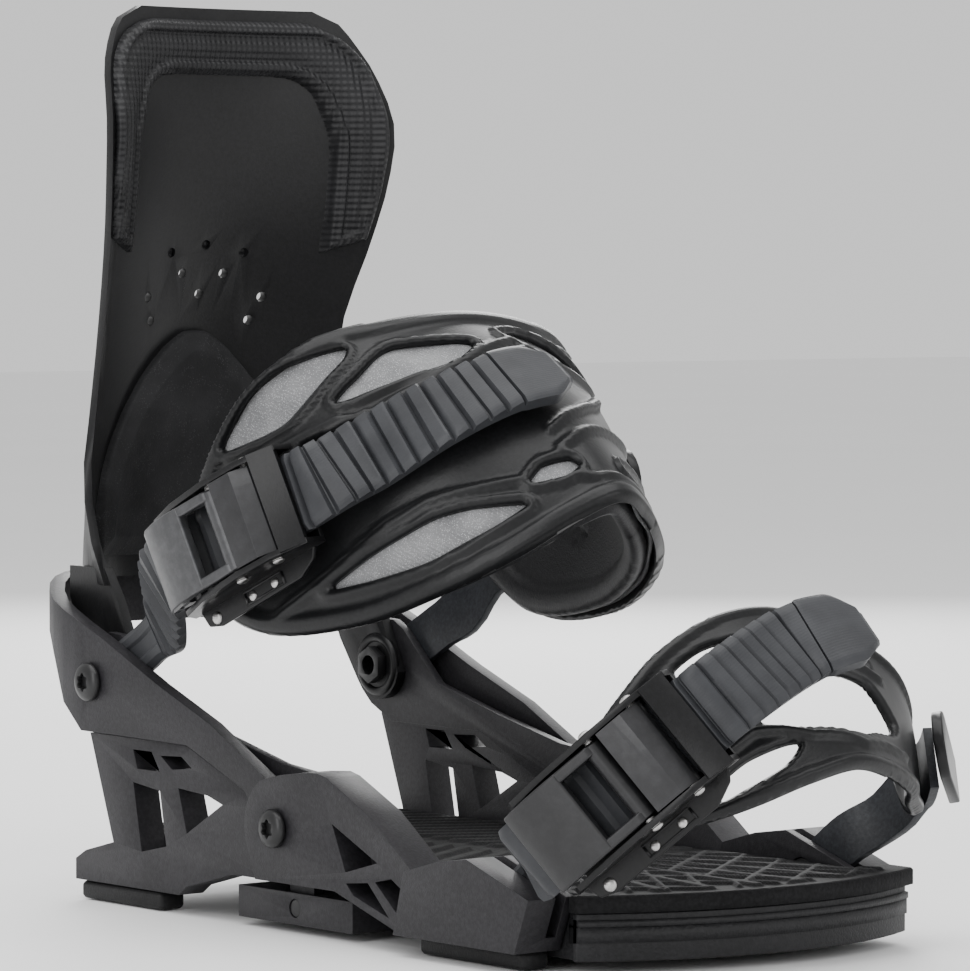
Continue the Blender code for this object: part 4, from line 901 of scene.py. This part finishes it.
def ribbed_plate(name, node, look, ribs, margin, pitch=0.0008):
    """A flat rubber plate cut from the node's own outline, with raised ribs on its top."""
    low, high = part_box(node)
    counts = [int((high[i] - low[i]) / pitch) + 1 for i in (0, 1)]
    places, _, inside, keep, shape = cut_grid(low, high, counts, top_outline(node, high.z))
    top = high.z - SHOULDER + SHOULDER * dome(inside, 0.0009)
    top += RIB_HEIGHT * ribs(places) * step(inside, margin, margin + 0.0015)
    upper = np.concatenate([places, top[:, None]], 1).reshape(shape)
    lower = upper.copy()
    lower[..., 2] = low.z
    return mesh_object(name, shell_mesh(upper, lower, keep), look)


def top_outline(node, height):
    """The closed outline of a node's flat top."""
    work = bmesh.new()
    work.from_mesh(NODES[node].data)
    bmesh.ops.remove_doubles(work, verts=work.verts, dist=2e-6)
    chosen = {face: True for face in work.faces if all(v.co.z > height - 0.0009 for v in face.verts)}
    nexts = {}
    for face in chosen:
        for loop in face.loops:
            if sum(other in chosen for other in loop.edge.link_faces) == 1:
                nexts[loop.vert] = loop.link_loop_next.vert
    start = next(iter(nexts))
    found, here = [start], nexts[start]
    while here is not start and len(found) < 4000:
        found.append(here)
        here = nexts[here]
    outline = [(v.co.x, v.co.y) for v in found]
    work.free()
    return outline


def footbed_ribs(places):
    """Chevrons that open towards the toe, broken by a plain band down the middle."""
    x, y = places[:, 0], places[:, 1]
    wave = np.sin((y + 0.55 * np.abs(x)) * 2 * math.pi / 0.0085)
    return step(wave, -0.15, 0.35) * step(np.abs(x), 0.0030, 0.0045)


def tread_ribs(places):
    """Rays that spread from the middle of the foot over the ramp, between crossing lines."""
    x, y = places[:, 0], places[:, 1]
    angle = np.arctan2(x, -(y + 0.030))
    rays = np.abs(((angle * 7.0 + 0.5) % 1.0) - 0.5)
    band = np.abs((((y - 0.75 * np.abs(x)) / 0.0150) % 1.0) - 0.5)
    slant = np.abs((((y + 1.6 * np.abs(x)) / 0.0190) % 1.0) - 0.5)
    lines = [0.10 - rays, 0.07 - band, 0.06 - slant]
    return np.maximum.reduce([step(line, -0.05, 0.02) for line in lines])


def foot_surfaces():
    footbed = ribbed_plate("footbed_mat", "footbed", FOOT_FOAM, footbed_ribs, 0.0030)
    ride(footbed, "base", "footbed_foam", "footbed")
    tread = ribbed_plate("ramp_tread", "toe_tread", TREAD_RUBBER, tread_ribs, 0.0040, 0.0006)
    ride(tread, "toe_ramp", "tread_rubber", "toe_tread")
    kept_shapes("toe_ramp", [("toe_ramp", "ramp_block", RAMP_RUBBER, "ramp_rubber", 0.0010)])
    ramp_steps()


def ramp_steps():
    """Two fine ledges moulded round the ramp's front."""
    low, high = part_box("toe_ramp")
    outline = top_outline("toe_ramp", high.z)
    front = [place for place in outline if place[1] < -0.1175]
    front.sort(key=lambda place: place[0])
    meshes = []
    for height, proud, thick in ((low.z + 0.0050, 0.0007, 0.0042), (low.z + 0.0092, 0.0012, 0.0016)):
        section = [(-proud, height), (-proud, height + thick)]
        section += [(0.003, height + thick + 0.0004), (0.003, height - 0.0004)]
        meshes.append(loft_mesh([[(x, y + ahead, z) for ahead, z in section] for x, y in front]))
    ledges = joined("ramp_ledges", meshes, RAMP_RUBBER)
    ride(ledges, "toe_ramp", "ramp_rubber")


# ---------------------------------------------------------------- highback

SUNK = 0.0014  # how deep a pad's hidden face lies in the shell
OUTSIDE = -0.0012  # a pad's lift outside its outline, under the shell's face

def perforations():
    """Cutters for the ventilation holes, on three arcs about one centre."""
    centre = 0.1500
    places = []
    for radius, count, spread in ((0.0240, 3, 96), (0.0310, 4, 84), (0.0385, 3, 40)):
        for i in range(count):
            angle = math.radians(spread * (i / (count - 1) - 0.5))
            x, z = radius * math.sin(angle), centre + radius * math.cos(angle)
            y = back_point(x / back_section(z)[0], z).y
            places.append((axes((1, 0, 0), (0, 1, 0.12), (x, y, z)), (1, 1, 1)))
    hole = turned_mesh([(0.0015, -0.008), (0.0015, 0.010)], 16)
    return repeated("hole_cutters", hole, places, SMOOTH)


def highback():
    shell = softened("highback", "highback_shell", SMOOTH, 0.0010, 3, 38, perforations())
    ride(shell, "highback", "black_nylon", "highback")
    bosses = []
    for out in (-1, 1):
        bosses.append((axes((0, 0, 1), (-out, 0, 0), (out * (BOOT_HALF + 0.0002), *ANKLE_PIVOT)), (1, 1, 1)))
    profile = [(0.0095, -0.001), (0.0095, 0.0004), (0.0086, 0.0010)]
    profile += [(0.0074, 0.0010), (0.0068, 0.0002), (0.0068, -0.001)]
    ring = turned_mesh(profile, 40)
    ride(repeated("ear_bosses", ring, bosses, SMOOTH), "highback", "black_nylon")


def back_field(name, node, look, low, high, reach, lift_of, columns, rows):
    """A raised form on the highback's inner face: its lift sinks below the shell outside its outline.

    low and high are its heights and reach its half width; the grid has the given columns and rows."""
    xs = np.linspace(-reach, reach, columns)
    tops, lows = [], []
    for z in np.linspace(low, high, rows):
        half = back_section(z)[0]
        lifts = lift_of(np.stack([xs, np.full(columns, z)], -1), half)
        shares = np.clip(xs / half, -0.985, 0.985)
        tops.append([back_point(share, z, -lift) for share, lift in zip(shares, lifts)])
        lows.append([back_point(share, z, SUNK) for share in shares])
    pad = mesh_object(name, shell_mesh(np.array(tops), np.array(lows)), look)
    return ride(pad, "highback", "cushion_rubber", node)


def cushion():
    """Inverted-U calf cushion with rounded legs and a raised outer rim."""
    left = [(-0.0345, 0.1780), (-0.0350, 0.2000), (-0.0350, 0.2200), (-0.0300, 0.2340), (-0.0230, 0.2385)]
    inner = corners_cut(both_sides(left), 3)

    def lift(places, half):
        hole, _ = outline_distance(places, inner)
        x, z = places[:, 0], places[:, 1]
        border = half * 0.965 - np.abs(x)
        top = 0.2545 - z
        legs = z - 0.1865 - 0.35 * np.clip(np.abs(x) - 0.036, -0.02, 0.02)
        corner = np.hypot(np.minimum(border - 0.012, 0), np.minimum(top - 0.012, 0))
        outer = np.where((border < 0.012) & (top < 0.012), 0.012 - corner, np.minimum(border, top))
        d = np.minimum.reduce([-hole, outer, legs])
        body = 0.0040 * dome(d, 0.0032) - 0.0011 * step(d, 0.0030, 0.0042) + 0.0008 * step(d, 0.0042, 0.0080)
        return np.where(d > 0, body, OUTSIDE)

    spread = (0.1840, 0.2560, 0.0490)
    back_field("calf_cushion", "highback_cushion", PAD_GRAIN, *spread, lift, 230, 180)


def heel_pad():
    """Gothic-arch heel pad with a bevelled edge."""
    left = [(-0.0395, 0.0960), (-0.0400, 0.1080), (-0.0385, 0.1180), (-0.0340, 0.1290)]
    left += [(-0.0270, 0.1400), (-0.0190, 0.1505), (-0.0110, 0.1585), (-0.0040, 0.1632)]
    arch = corners_cut(both_sides(left), 3)

    def lift(places, half):
        d, _ = outline_distance(places, arch)
        body = 0.0026 * step(d, 0.0, 0.0006) + 0.0028 * np.clip((d - 0.0006) / 0.0054, 0, 1)
        return np.where(d > 0, body, OUTSIDE)

    spread = (0.0955, 0.1650, 0.0425)
    back_field("arch_heel_pad", "heel_pad", HEEL_FOAM, *spread, lift, 190, 160)


def lean_parts():
    kept_shapes("lean_block", [
        ("lean_block", "lean_slider", BUCKLE, "black_nylon", 0.0006),
        ("lean_pin", "lean_axle", STEEL, "steel", 0.0002),
    ])
    kept_shapes("lean_lever", [("lean_lever", "lean_tab", BLOCK_GREY, "grey_nylon", 0.0005)])


base_pieces()
fasteners()
foot_surfaces()
highback()
cushion()
heel_pad()
lean_parts()

# ---------------------------------------------------------------- straps


class StrapShape:
    """A strap's own surface, read at places given in metres along it and across it."""

    def __init__(self, strap, length):
        self.strap = strap
        self.half = length / 2
        self.shares = np.linspace(-1, 1, 321)
        rows = [strap_frame(strap["edges"], share, strap["inside"]) for share in self.shares]
        self.tables = [np.array([tuple(row[i]) for row in rows]) for i in range(3)]
        self.widths = np.linalg.norm(self.tables[1] - self.tables[0], axis=1)

    def width(self, share):
        return np.interp(share, self.shares, self.widths)

    def read(self, table, share):
        return np.stack([np.interp(share, self.shares, table[:, i]) for i in range(3)], -1)

    def flat(self, points):
        """Metres along and across for (share, across) pairs."""
        share, across = np.array(points, float).T
        return np.stack([share * self.half, (across - 0.5) * self.width(share)], -1)

    def point(self, places, lift):
        share = places[:, 0] / self.half
        across = 0.5 + places[:, 1] / self.width(share)
        rear, front, out = (self.read(table, share) for table in self.tables)
        out /= np.linalg.norm(out, axis=1)[:, None]
        bulge = self.strap["bulge"] * (1 - 0.7 * np.abs(share)) * 4 * across * (1 - across)
        return rear + (front - rear) * across[:, None] + out * (bulge + lift)[:, None]

    def outline(self, end, margin, taper, corner):
        """Outline of a layer: its ends are drawn in and rounded."""
        turn = 0.1
        stretches = ((-end, turn - end, 16), (turn - end, end - turn, 50), (end - turn, end, 16))
        before, middle, after = (np.linspace(*stretch) for stretch in stretches)
        shares = np.concatenate([before[:-1], middle, after[1:]])
        size = np.abs(shares)
        round_end = 1 - np.sqrt(np.clip(1 - (np.clip(size - (end - turn), 0, 1) / turn) ** 2, 0, 1))
        inset = margin + taper * size**6 + corner * round_end
        rear = self.flat(np.stack([shares, inset], -1))
        front = self.flat(np.stack([shares, 1 - inset], -1))[::-1]
        return np.concatenate([rear, front])

    def window(self, points):
        """An opening through the given (share, across) points, with its corners rounded."""
        return corners_cut(self.flat(points), 3)


def strap_sheet(name, shape, look, outline, openings, lifts, pitch=0.0011):
    """A closed sheet on the strap; lifts(places, rim, edge) gives its two faces."""
    low, high = outline.min(0), outline.max(0)
    counts = [int((high[i] - low[i]) / pitch) + 2 for i in (0, 1)]
    places, rim, edge, keep, grid = cut_grid(low, high, counts, outline, openings)
    top, under = (shape.point(places, lift).reshape(grid) for lift in lifts(places, rim, edge))
    return mesh_object(name, shell_mesh(top, under, keep), look)


ANKLE_SHAPE = StrapShape(ANKLE, 0.2687)
TOE_SHAPE = StrapShape(TOE, 0.1498)
ANKLE_WINDOWS = [
    [(-0.80, 0.10), (-0.68, 0.05), (-0.56, 0.03), (-0.36, 0.08), (-0.40, 0.13), (-0.60, 0.22), (-0.68, 0.20)],
    [(-0.49, 0.25), (-0.39, 0.20), (-0.28, 0.13), (-0.04, 0.20), (-0.16, 0.28), (-0.34, 0.28), (-0.45, 0.27)],
    [(-0.60, 0.32), (-0.43, 0.36), (-0.43, 0.40), (-0.51, 0.385), (-0.60, 0.36)],
    [(-0.72, 0.82), (-0.60, 0.77), (-0.46, 0.76), (-0.27, 0.88), (-0.39, 0.885), (-0.52, 0.885),
     (-0.63, 0.85)],
    [(-0.27, 0.82), (-0.20, 0.78), (-0.10, 0.80), (-0.08, 0.84), (-0.16, 0.86)],
    [(-0.08, 0.33), (0.04, 0.28), (0.12, 0.31), (0.06, 0.37)],
]
FAR_WINDOWS = [
    [(0.04, 0.15), (0.16, 0.11), (0.28, 0.13), (0.39, 0.20), (0.45, 0.27), (0.34, 0.28), (0.16, 0.26)],
    [(0.50, 0.10), (0.62, 0.10), (0.70, 0.16), (0.64, 0.22), (0.54, 0.20)],
    [(0.10, 0.84), (0.27, 0.80), (0.46, 0.77), (0.58, 0.80), (0.46, 0.87), (0.27, 0.885)],
]
ANKLE_CREASES = [
    [(-0.825, 0.883), (-0.716, 0.79), (-0.541, 0.71), (-0.453, 0.71), (-0.267, 0.80), (-0.05, 0.91),
     (0.30, 0.92)],
    [(-0.70, 0.27), (-0.50, 0.31), (-0.44, 0.36), (-0.28, 0.33), (-0.10, 0.27), (0.16, 0.16), (0.45, 0.10)],
    [(-0.62, 0.42), (-0.36, 0.41), (-0.12, 0.36), (0.10, 0.24), (0.30, 0.14)],
    [(-0.10, 0.68), (0.08, 0.60), (0.24, 0.50), (0.40, 0.36)],
    [(-0.12, 0.76), (0.12, 0.68), (0.30, 0.62), (0.52, 0.52)],
]
TOE_OPENINGS = [
    [(-0.44, 0.15), (-0.33, 0.14), (-0.16, 0.17), (-0.22, 0.21), (-0.36, 0.24), (-0.44, 0.22)],
    [(-0.60, 0.91), (-0.52, 0.82), (-0.40, 0.77), (-0.19, 0.80), (-0.30, 0.88), (-0.50, 0.905)],
    [(-0.30, 0.62), (-0.26, 0.68), (-0.12, 0.745), (0.03, 0.79), (0.15, 0.80), (0.36, 0.72),
     (0.45, 0.60), (0.38, 0.36), (0.20, 0.42), (0.0, 0.46), (-0.20, 0.50)],
    [(0.44, 0.15), (0.33, 0.14), (0.16, 0.17), (0.22, 0.21), (0.36, 0.24), (0.44, 0.22)],
]
TOE_CREASES = [
    [(-0.66, 0.80), (-0.50, 0.70), (-0.34, 0.66), (-0.14, 0.80), (0.10, 0.88), (0.40, 0.84)],
    [(-0.60, 0.32), (-0.36, 0.32), (-0.10, 0.30), (0.15, 0.22), (0.45, 0.30)],
]


def ankle_layers():
    shape = ANKLE_SHAPE
    windows = [shape.window(points) for points in ANKLE_WINDOWS + FAR_WINDOWS]
    creases = [shape.flat(points) for points in ANKLE_CREASES]

    def web(places, rim, edge):
        bead = 0.0016 * dome(rim, 0.0012) * (1 - step(rim, 0.0046, 0.0058))
        near = np.minimum.reduce([np.abs(outline_distance(places, hole)[0]) for hole in windows])
        frame_rib = 0.0013 * (1 - step(near, 0.0022, 0.0032))
        lines = np.minimum.reduce([line_distance(places, line) for line in creases])
        raised = 0.0015 * (1 - step(lines, 0.0005, 0.0022))
        top = -0.0012 + 0.0012 * dome(edge, 0.0009) + np.maximum.reduce([bead, frame_rib, raised])
        return top, -0.0014 + 0.0001 * dome(edge, 0.001)

    outline = shape.outline(0.992, 0.0, 0.16, 0.22)
    piece = strap_sheet("ankle_frame", shape, STRAP, outline, windows, web)
    ride(piece, "ankle_strap", "strap_rubber", "ankle_web")

    def cloth(places, rim, edge):
        puff = -0.0016 + 0.0005 * np.sin(places[:, 0] * 210 + 1.3) * np.sin(places[:, 1] * 260)
        return puff, puff - 0.0010

    under = shape.outline(0.93, 0.035, 0.16, 0.20)
    piece = strap_sheet("ankle_cloth", shape, CLOTH, under, [], cloth, 0.0020)
    ride(piece, "ankle_strap", "strap_rubber")

    inner = shape.outline(0.972, 0.018, 0.16, 0.22)
    far = shape.flat([(0.66, 0.5)])[0]

    def pad(places, rim, edge):
        top = -0.0062 + 0.0030 * dome(edge, 0.0030)
        crown = 0.0056 * dome(edge, 0.0060)
        sunk = 0.0014 * step(edge, 0.0068, 0.0082)
        u, w = (places - far).T
        cells = [np.abs(((u * a + w * b) / 0.0088) % 1 - 0.5) for a, b in ((0.80, 0.60), (0.45, -0.90))]
        patch = (np.abs(u * 0.8 + w * 0.6) < 0.0132) & (np.abs(u * 0.45 - w * 0.90) < 0.0132)
        cuts = 0.0012 * patch * (1 - step(np.minimum(0.5 - cells[0], 0.5 - cells[1]), 0.03, 0.09))
        slope = 0.0016 * patch * cells[0]
        return top, -0.0062 - crown * 0.55 + sunk + cuts + slope

    piece = strap_sheet("ankle_pad", shape, LINER, inner, [], pad)
    ride(piece, "ankle_strap", "strap_foam", "ankle_liner")


def toe_frame():
    shape = TOE_SHAPE
    windows = [shape.window(points) for points in TOE_OPENINGS]
    creases = [shape.flat(points) for points in TOE_CREASES]

    def web(places, rim, edge):
        bead = 0.0010 * dome(rim, 0.0011) * (1 - step(rim, 0.0028, 0.0036))
        lines = np.minimum.reduce([line_distance(places, line) for line in creases])
        raised = 0.0013 * (1 - step(lines, 0.0004, 0.0018))
        body = dome(edge, 0.0014)
        return -0.0003 + 0.0017 * body + np.maximum(bead, raised), -0.0003 - 0.0013 * body

    outline = shape.outline(0.992, 0.0, 0.10, 0.22)
    piece = strap_sheet("toe_frame", shape, STRAP, outline, windows, web, 0.0009)
    ride(piece, "toe_strap", "strap_rubber", "toe_web")


# ---------------------------------------------------------------- ladders and connectors


def strip_mesh(path, half_at, lift_at, sides):
    """A flat strip along (point, outward) pairs, with its length and width kept as the map named along."""
    rings, coords = [], []
    travelled = 0.0
    for i, (point, outward) in enumerate(path):
        before, after = path[max(i - 1, 0)][0], path[min(i + 1, len(path) - 1)][0]
        forward = (after - before).normalized()
        side = forward.cross(outward).normalized()
        up = side.cross(forward).normalized()
        up = up if up.dot(outward) > 0 else -up
        travelled += (point - before).length
        half = half_at(travelled)
        over = []
        for v in sides:
            drop = 0.0008 * step(abs(v), 0.88, 1.0)
            over.append(point + side * half * v + up * (lift_at(travelled, v) - drop))
        under = [point + side * half * v * 0.98 - up * (LADDER / 2) for v in reversed(sides)]
        rings.append(over + under)
        coords.append([(travelled, v * half) for v in (*sides, *reversed(sides))])
    mesh = loft_mesh(rings)
    layer = mesh.uv_layers.new(name="along")
    pairs = {}
    for ring, row in zip(rings, coords):
        pairs.update({fine_key(point): pair for point, pair in zip(ring, row)})
    for loop in mesh.loops:
        layer.data[loop.index].uv = pairs.get(fine_key(mesh.vertices[loop.vertex_index].co), (0, 0))
    mesh.set_sharp_from_angle(angle=math.radians(32))
    return mesh


def fine_key(point):
    return tuple(round(c, 7) for c in point)


def ladder_path(strap, matrix, pivot, root_offsets, tip_share, lifts):
    slot_middle = PANEL_OUT + STRAP_SLOT / 2
    root = strap_root(pivot, slot_middle, root_offsets)
    ends = (BUCKLE_REAR - 0.0035, BUCKLE_REAR + 0.003, BUCKLE_FRONT - 0.002, BUCKLE_FRONT + 0.006)
    in_buckle = [matrix @ Vector((x, 0, LADDER_LIFT)) for x in ends]
    start = strap["buckle_share"] + strap["buckle_reach"] + strap["ladder_start"]
    over = []
    for share in (i / 3 for i in range(4)):
        lift = lifts[0] + (lifts[1] - lifts[0]) * share
        over.append(strap_point(strap, start + (tip_share - start) * share, 0.5, lift))
    points = smooth_path([*root, *in_buckle, *over], 40)
    buckle_out = matrix.to_3x3() @ Vector((0, 0, 1))
    crown_out = strap_frame(strap["edges"], tip_share, strap["inside"])[2]
    path = []
    for point in points:
        near_root = ease((point - root[0]).length, 0.005, (in_buckle[0] - root[0]).length)
        toward_tip = ease((point - in_buckle[2]).length, 0.0, (points[-1] - in_buckle[2]).length)
        if (point - root[0]).length < (in_buckle[2] - root[0]).length:
            toward_tip = 0.0
        mixed = Vector((-1, 0, 0)).lerp(buckle_out, near_root).lerp(crown_out, toward_tip)
        path.append((point, mixed.normalized()))
    return path, sum((b - a).length for (a, _), (b, _) in zip(path, path[1:]))


def ladder(name, strap, matrix, pivot, root_offsets, tip_share, lifts):
    """Toothed strip: plain and stepped at its root, saw teeth up to a smooth pointed tip."""
    path, total = ladder_path(strap, matrix, pivot, root_offsets, tip_share, lifts)
    tip, pitch, tooth = 0.0185, 0.0053, 0.0021

    def half_at(s):
        root = ROOT_WIDTH + (LADDER_WIDTH - ROOT_WIDTH) * ease(s, *ROOT_LENGTH)
        swell = 0.0005 * ease(s, total - tip - 0.001, total - tip + 0.001)
        return (root / 2 + swell) * (1 - 0.52 * ease(s, total - 0.0095, total + 0.0015))

    def lift_at(s, v):
        base = LADDER / 2 - 0.0002
        if s > total - tip:
            return base + 0.0019 - 0.0012 * ease(s, total - 0.0025, total)
        if s < 0.030:
            return base + 0.0006 * (ease(abs(v), 0.30, 0.42) - ease(abs(v), 0.72, 0.84))
        phase = ((total - tip - s) / pitch) % 1.0
        return base + tooth * (1 - 0.55 * phase) * ease(phase, 0.0, 0.10) * (1 - ease(phase, 0.80, 0.93))

    right = (0.30, 0.42, 0.74, 0.84, 0.95, 1.0)
    sides = (*(-v for v in reversed(right)), 0.0, *right)
    piece = mesh_object(f"{name}_toothed_strip", strip_mesh(path, half_at, lift_at, sides), LADDER_LOOK)
    ride(piece, f"{name}_strap", "ladder_nylon", f"{name}_ladder")


def straps():
    ankle_layers()
    toe_frame()
    ankle_root = [(0, 0, 0), (0.010, 0.0060, 0), (0.020, 0.0115, 0), (0.030, 0.0180, 0.0015)]
    toe_root = [(0, 0, 0), (0.007, 0.0055, 0), (0.014, 0.0110, 0.0008), (0.0195, 0.0150, 0.0045)]
    matrices = {}
    for name, strap, pivot, root, tip_share, lifts in (
        ("ankle", ANKLE, ANKLE_PIVOT, ankle_root, 0.03, (0.0060, 0.0060)),
        ("toe", TOE, TOE_PIVOT, toe_root, 0.09, (0.0160, 0.0190)),
    ):
        matrix = matrices[name] = buckle_matrix(strap, strap["buckle_share"], 0.0060, strap["buckle_reach"])
        ladder(name, strap, matrix, pivot, root, tip_share, lifts)
    for name, matrix in matrices.items():
        buckle(name, matrix)
        kept_shapes(f"{name}_strap", [
            (f"{name}_connector", f"{name}_far_strip", CONNECTOR, "strap_rubber", 0.0005)])
        kept_shapes(f"{name}_adjuster", [
            (f"{name}_adjuster", f"{name}_lock_tab", BUCKLE, "black_nylon", 0.0005)])


UPRIGHT = Matrix.Rotation(math.pi / 2, 4, "X")


def upright(outline, low, high, matrix):
    """A plate drawn in a buckle's length and height, between two places across it."""
    return prism(outline, -high, -low, matrix @ UPRIGHT)


def bar(x, y, long, wide, matrix):
    """A fine raised bar on the flange, its corner at x and y."""
    outline = [(x, y), (x + long, y), (x + long, y + wide), (x, y + wide)]
    return prism(outline, 0.0010, 0.0020, matrix)


def buckle(name, matrix):
    """Cage with a riveted flange, a paddle on two arms, a crowned release block, pins and rivets."""
    body = f"{name}_strap"
    half = BUCKLE_HALF_WIDTH
    kept_shapes(body, [(f"{name}_buckle", f"{name}_cage", BUCKLE, "black_steel", 0.0007, 3, 28)])
    profile = [(-0.0262, 0.0006), (-0.0248, -0.0042), (-0.0200, -0.0058)]
    profile += [(0.0150, -0.0058), (0.0215, -0.0030), (0.0240, 0.0006)]
    edge = [(x, -half + out) for x, out in profile]
    flange = rounded(prism(edge, 0.0002, 0.0016, matrix), f"{name}_flange", BUCKLE, 0.0005)
    ride(flange, body, "black_steel")
    (left, right), (low, high) = (-0.0075, 0.0085), (-half - 0.0047, -half - 0.0013)
    bars = [bar(x, low, 0.0006, high - low, matrix) for x in (left, right)]
    bars += [bar(left, y, right - left, 0.0005, matrix) for y in (low, high)]
    ride(joined(f"{name}_flange_frame", bars, BUCKLE), body, "black_steel")
    profile = [(0.0016, 0), (0.0016, 0.0004), (0.0012, 0.0008), (0.0006, 0.0010), (0.0001, 0.00105)]
    dome_head = turned_mesh(profile, 20)
    places = []
    for x, size in ((-0.0205, 1.15), (-0.0045, 0.9), (0.0050, 0.9)):
        places.append((matrix @ Matrix.Translation((x, -half - 0.0031, 0.0014)), (size, size, 1)))
    for x, z in (LEVER_PIN, RELEASE_PIN):
        for side in (-1, 1):
            turn = Matrix.Rotation(-side * math.pi / 2, 4, "X")
            spot = Matrix.Translation((x, side * (half + 0.0001), z))
            places.append((matrix @ spot @ turn, (1.05, 1.05, 1)))
    ride(repeated(f"{name}_rivets", dome_head, places, STEEL), body, "steel")
    paddle(name, matrix)
    release = f"{name}_release"
    kept_shapes(release, [(release, f"{name}_pawl", BLOCK_GREY, "grey_metal", 0.0011, 4, 24)])
    for pin in (f"{name}_lever_pin", f"{name}_release_pin"):
        kept_shapes(body, [(pin, f"{pin}_rod", STEEL, "steel", 0.0003)])


def paddle(name, matrix):
    """A bent plate on two arms that turn on a hub."""
    look = ANKLE_PADDLE if name == "ankle" else TOE_PADDLE
    half = BUCKLE_HALF_WIDTH - 0.0024
    plate = [(-0.0094, 0.0108), (-0.0094, 0.0139), (-0.0145, 0.0143), (-0.0205, 0.0136), (-0.0262, 0.0116)]
    plate += [(-0.0295, 0.0090), (-0.0291, 0.0078), (-0.0262, 0.0088), (-0.0205, 0.0106), (-0.0145, 0.0110)]
    arm = [(-0.0108, 0.0110), (-0.0108, 0.0138), (0.0010, 0.0134), (0.0042, 0.0116)]
    arm += [(0.0046, 0.0090), (0.0020, 0.0070), (-0.0010, 0.0084), (-0.0050, 0.0108)]
    angles = [a * math.pi / 8 for a in range(16)]
    hub = [(LEVER_PIN[0] + 0.0029 * math.cos(a), LEVER_PIN[1] + 0.0029 * math.sin(a)) for a in angles]
    soft = []
    for outline, low, high in (
        (plate, -half, half),
        (arm, -half, -half + 0.0030),
        (arm, half - 0.0030, half),
        (hub, -half + 0.0002, half - 0.0002),
    ):
        soft.append(rounded(upright(outline, low, high, matrix), f"{name}_part", look, 0.0007, 3, 24))
    whole = joined(f"{name}_paddle", [obj.data for obj in soft], look)
    for obj in soft:
        bpy.data.objects.remove(obj)
    ride(whole, f"{name}_lever", "grey_metal", f"{name}_lever")


straps()
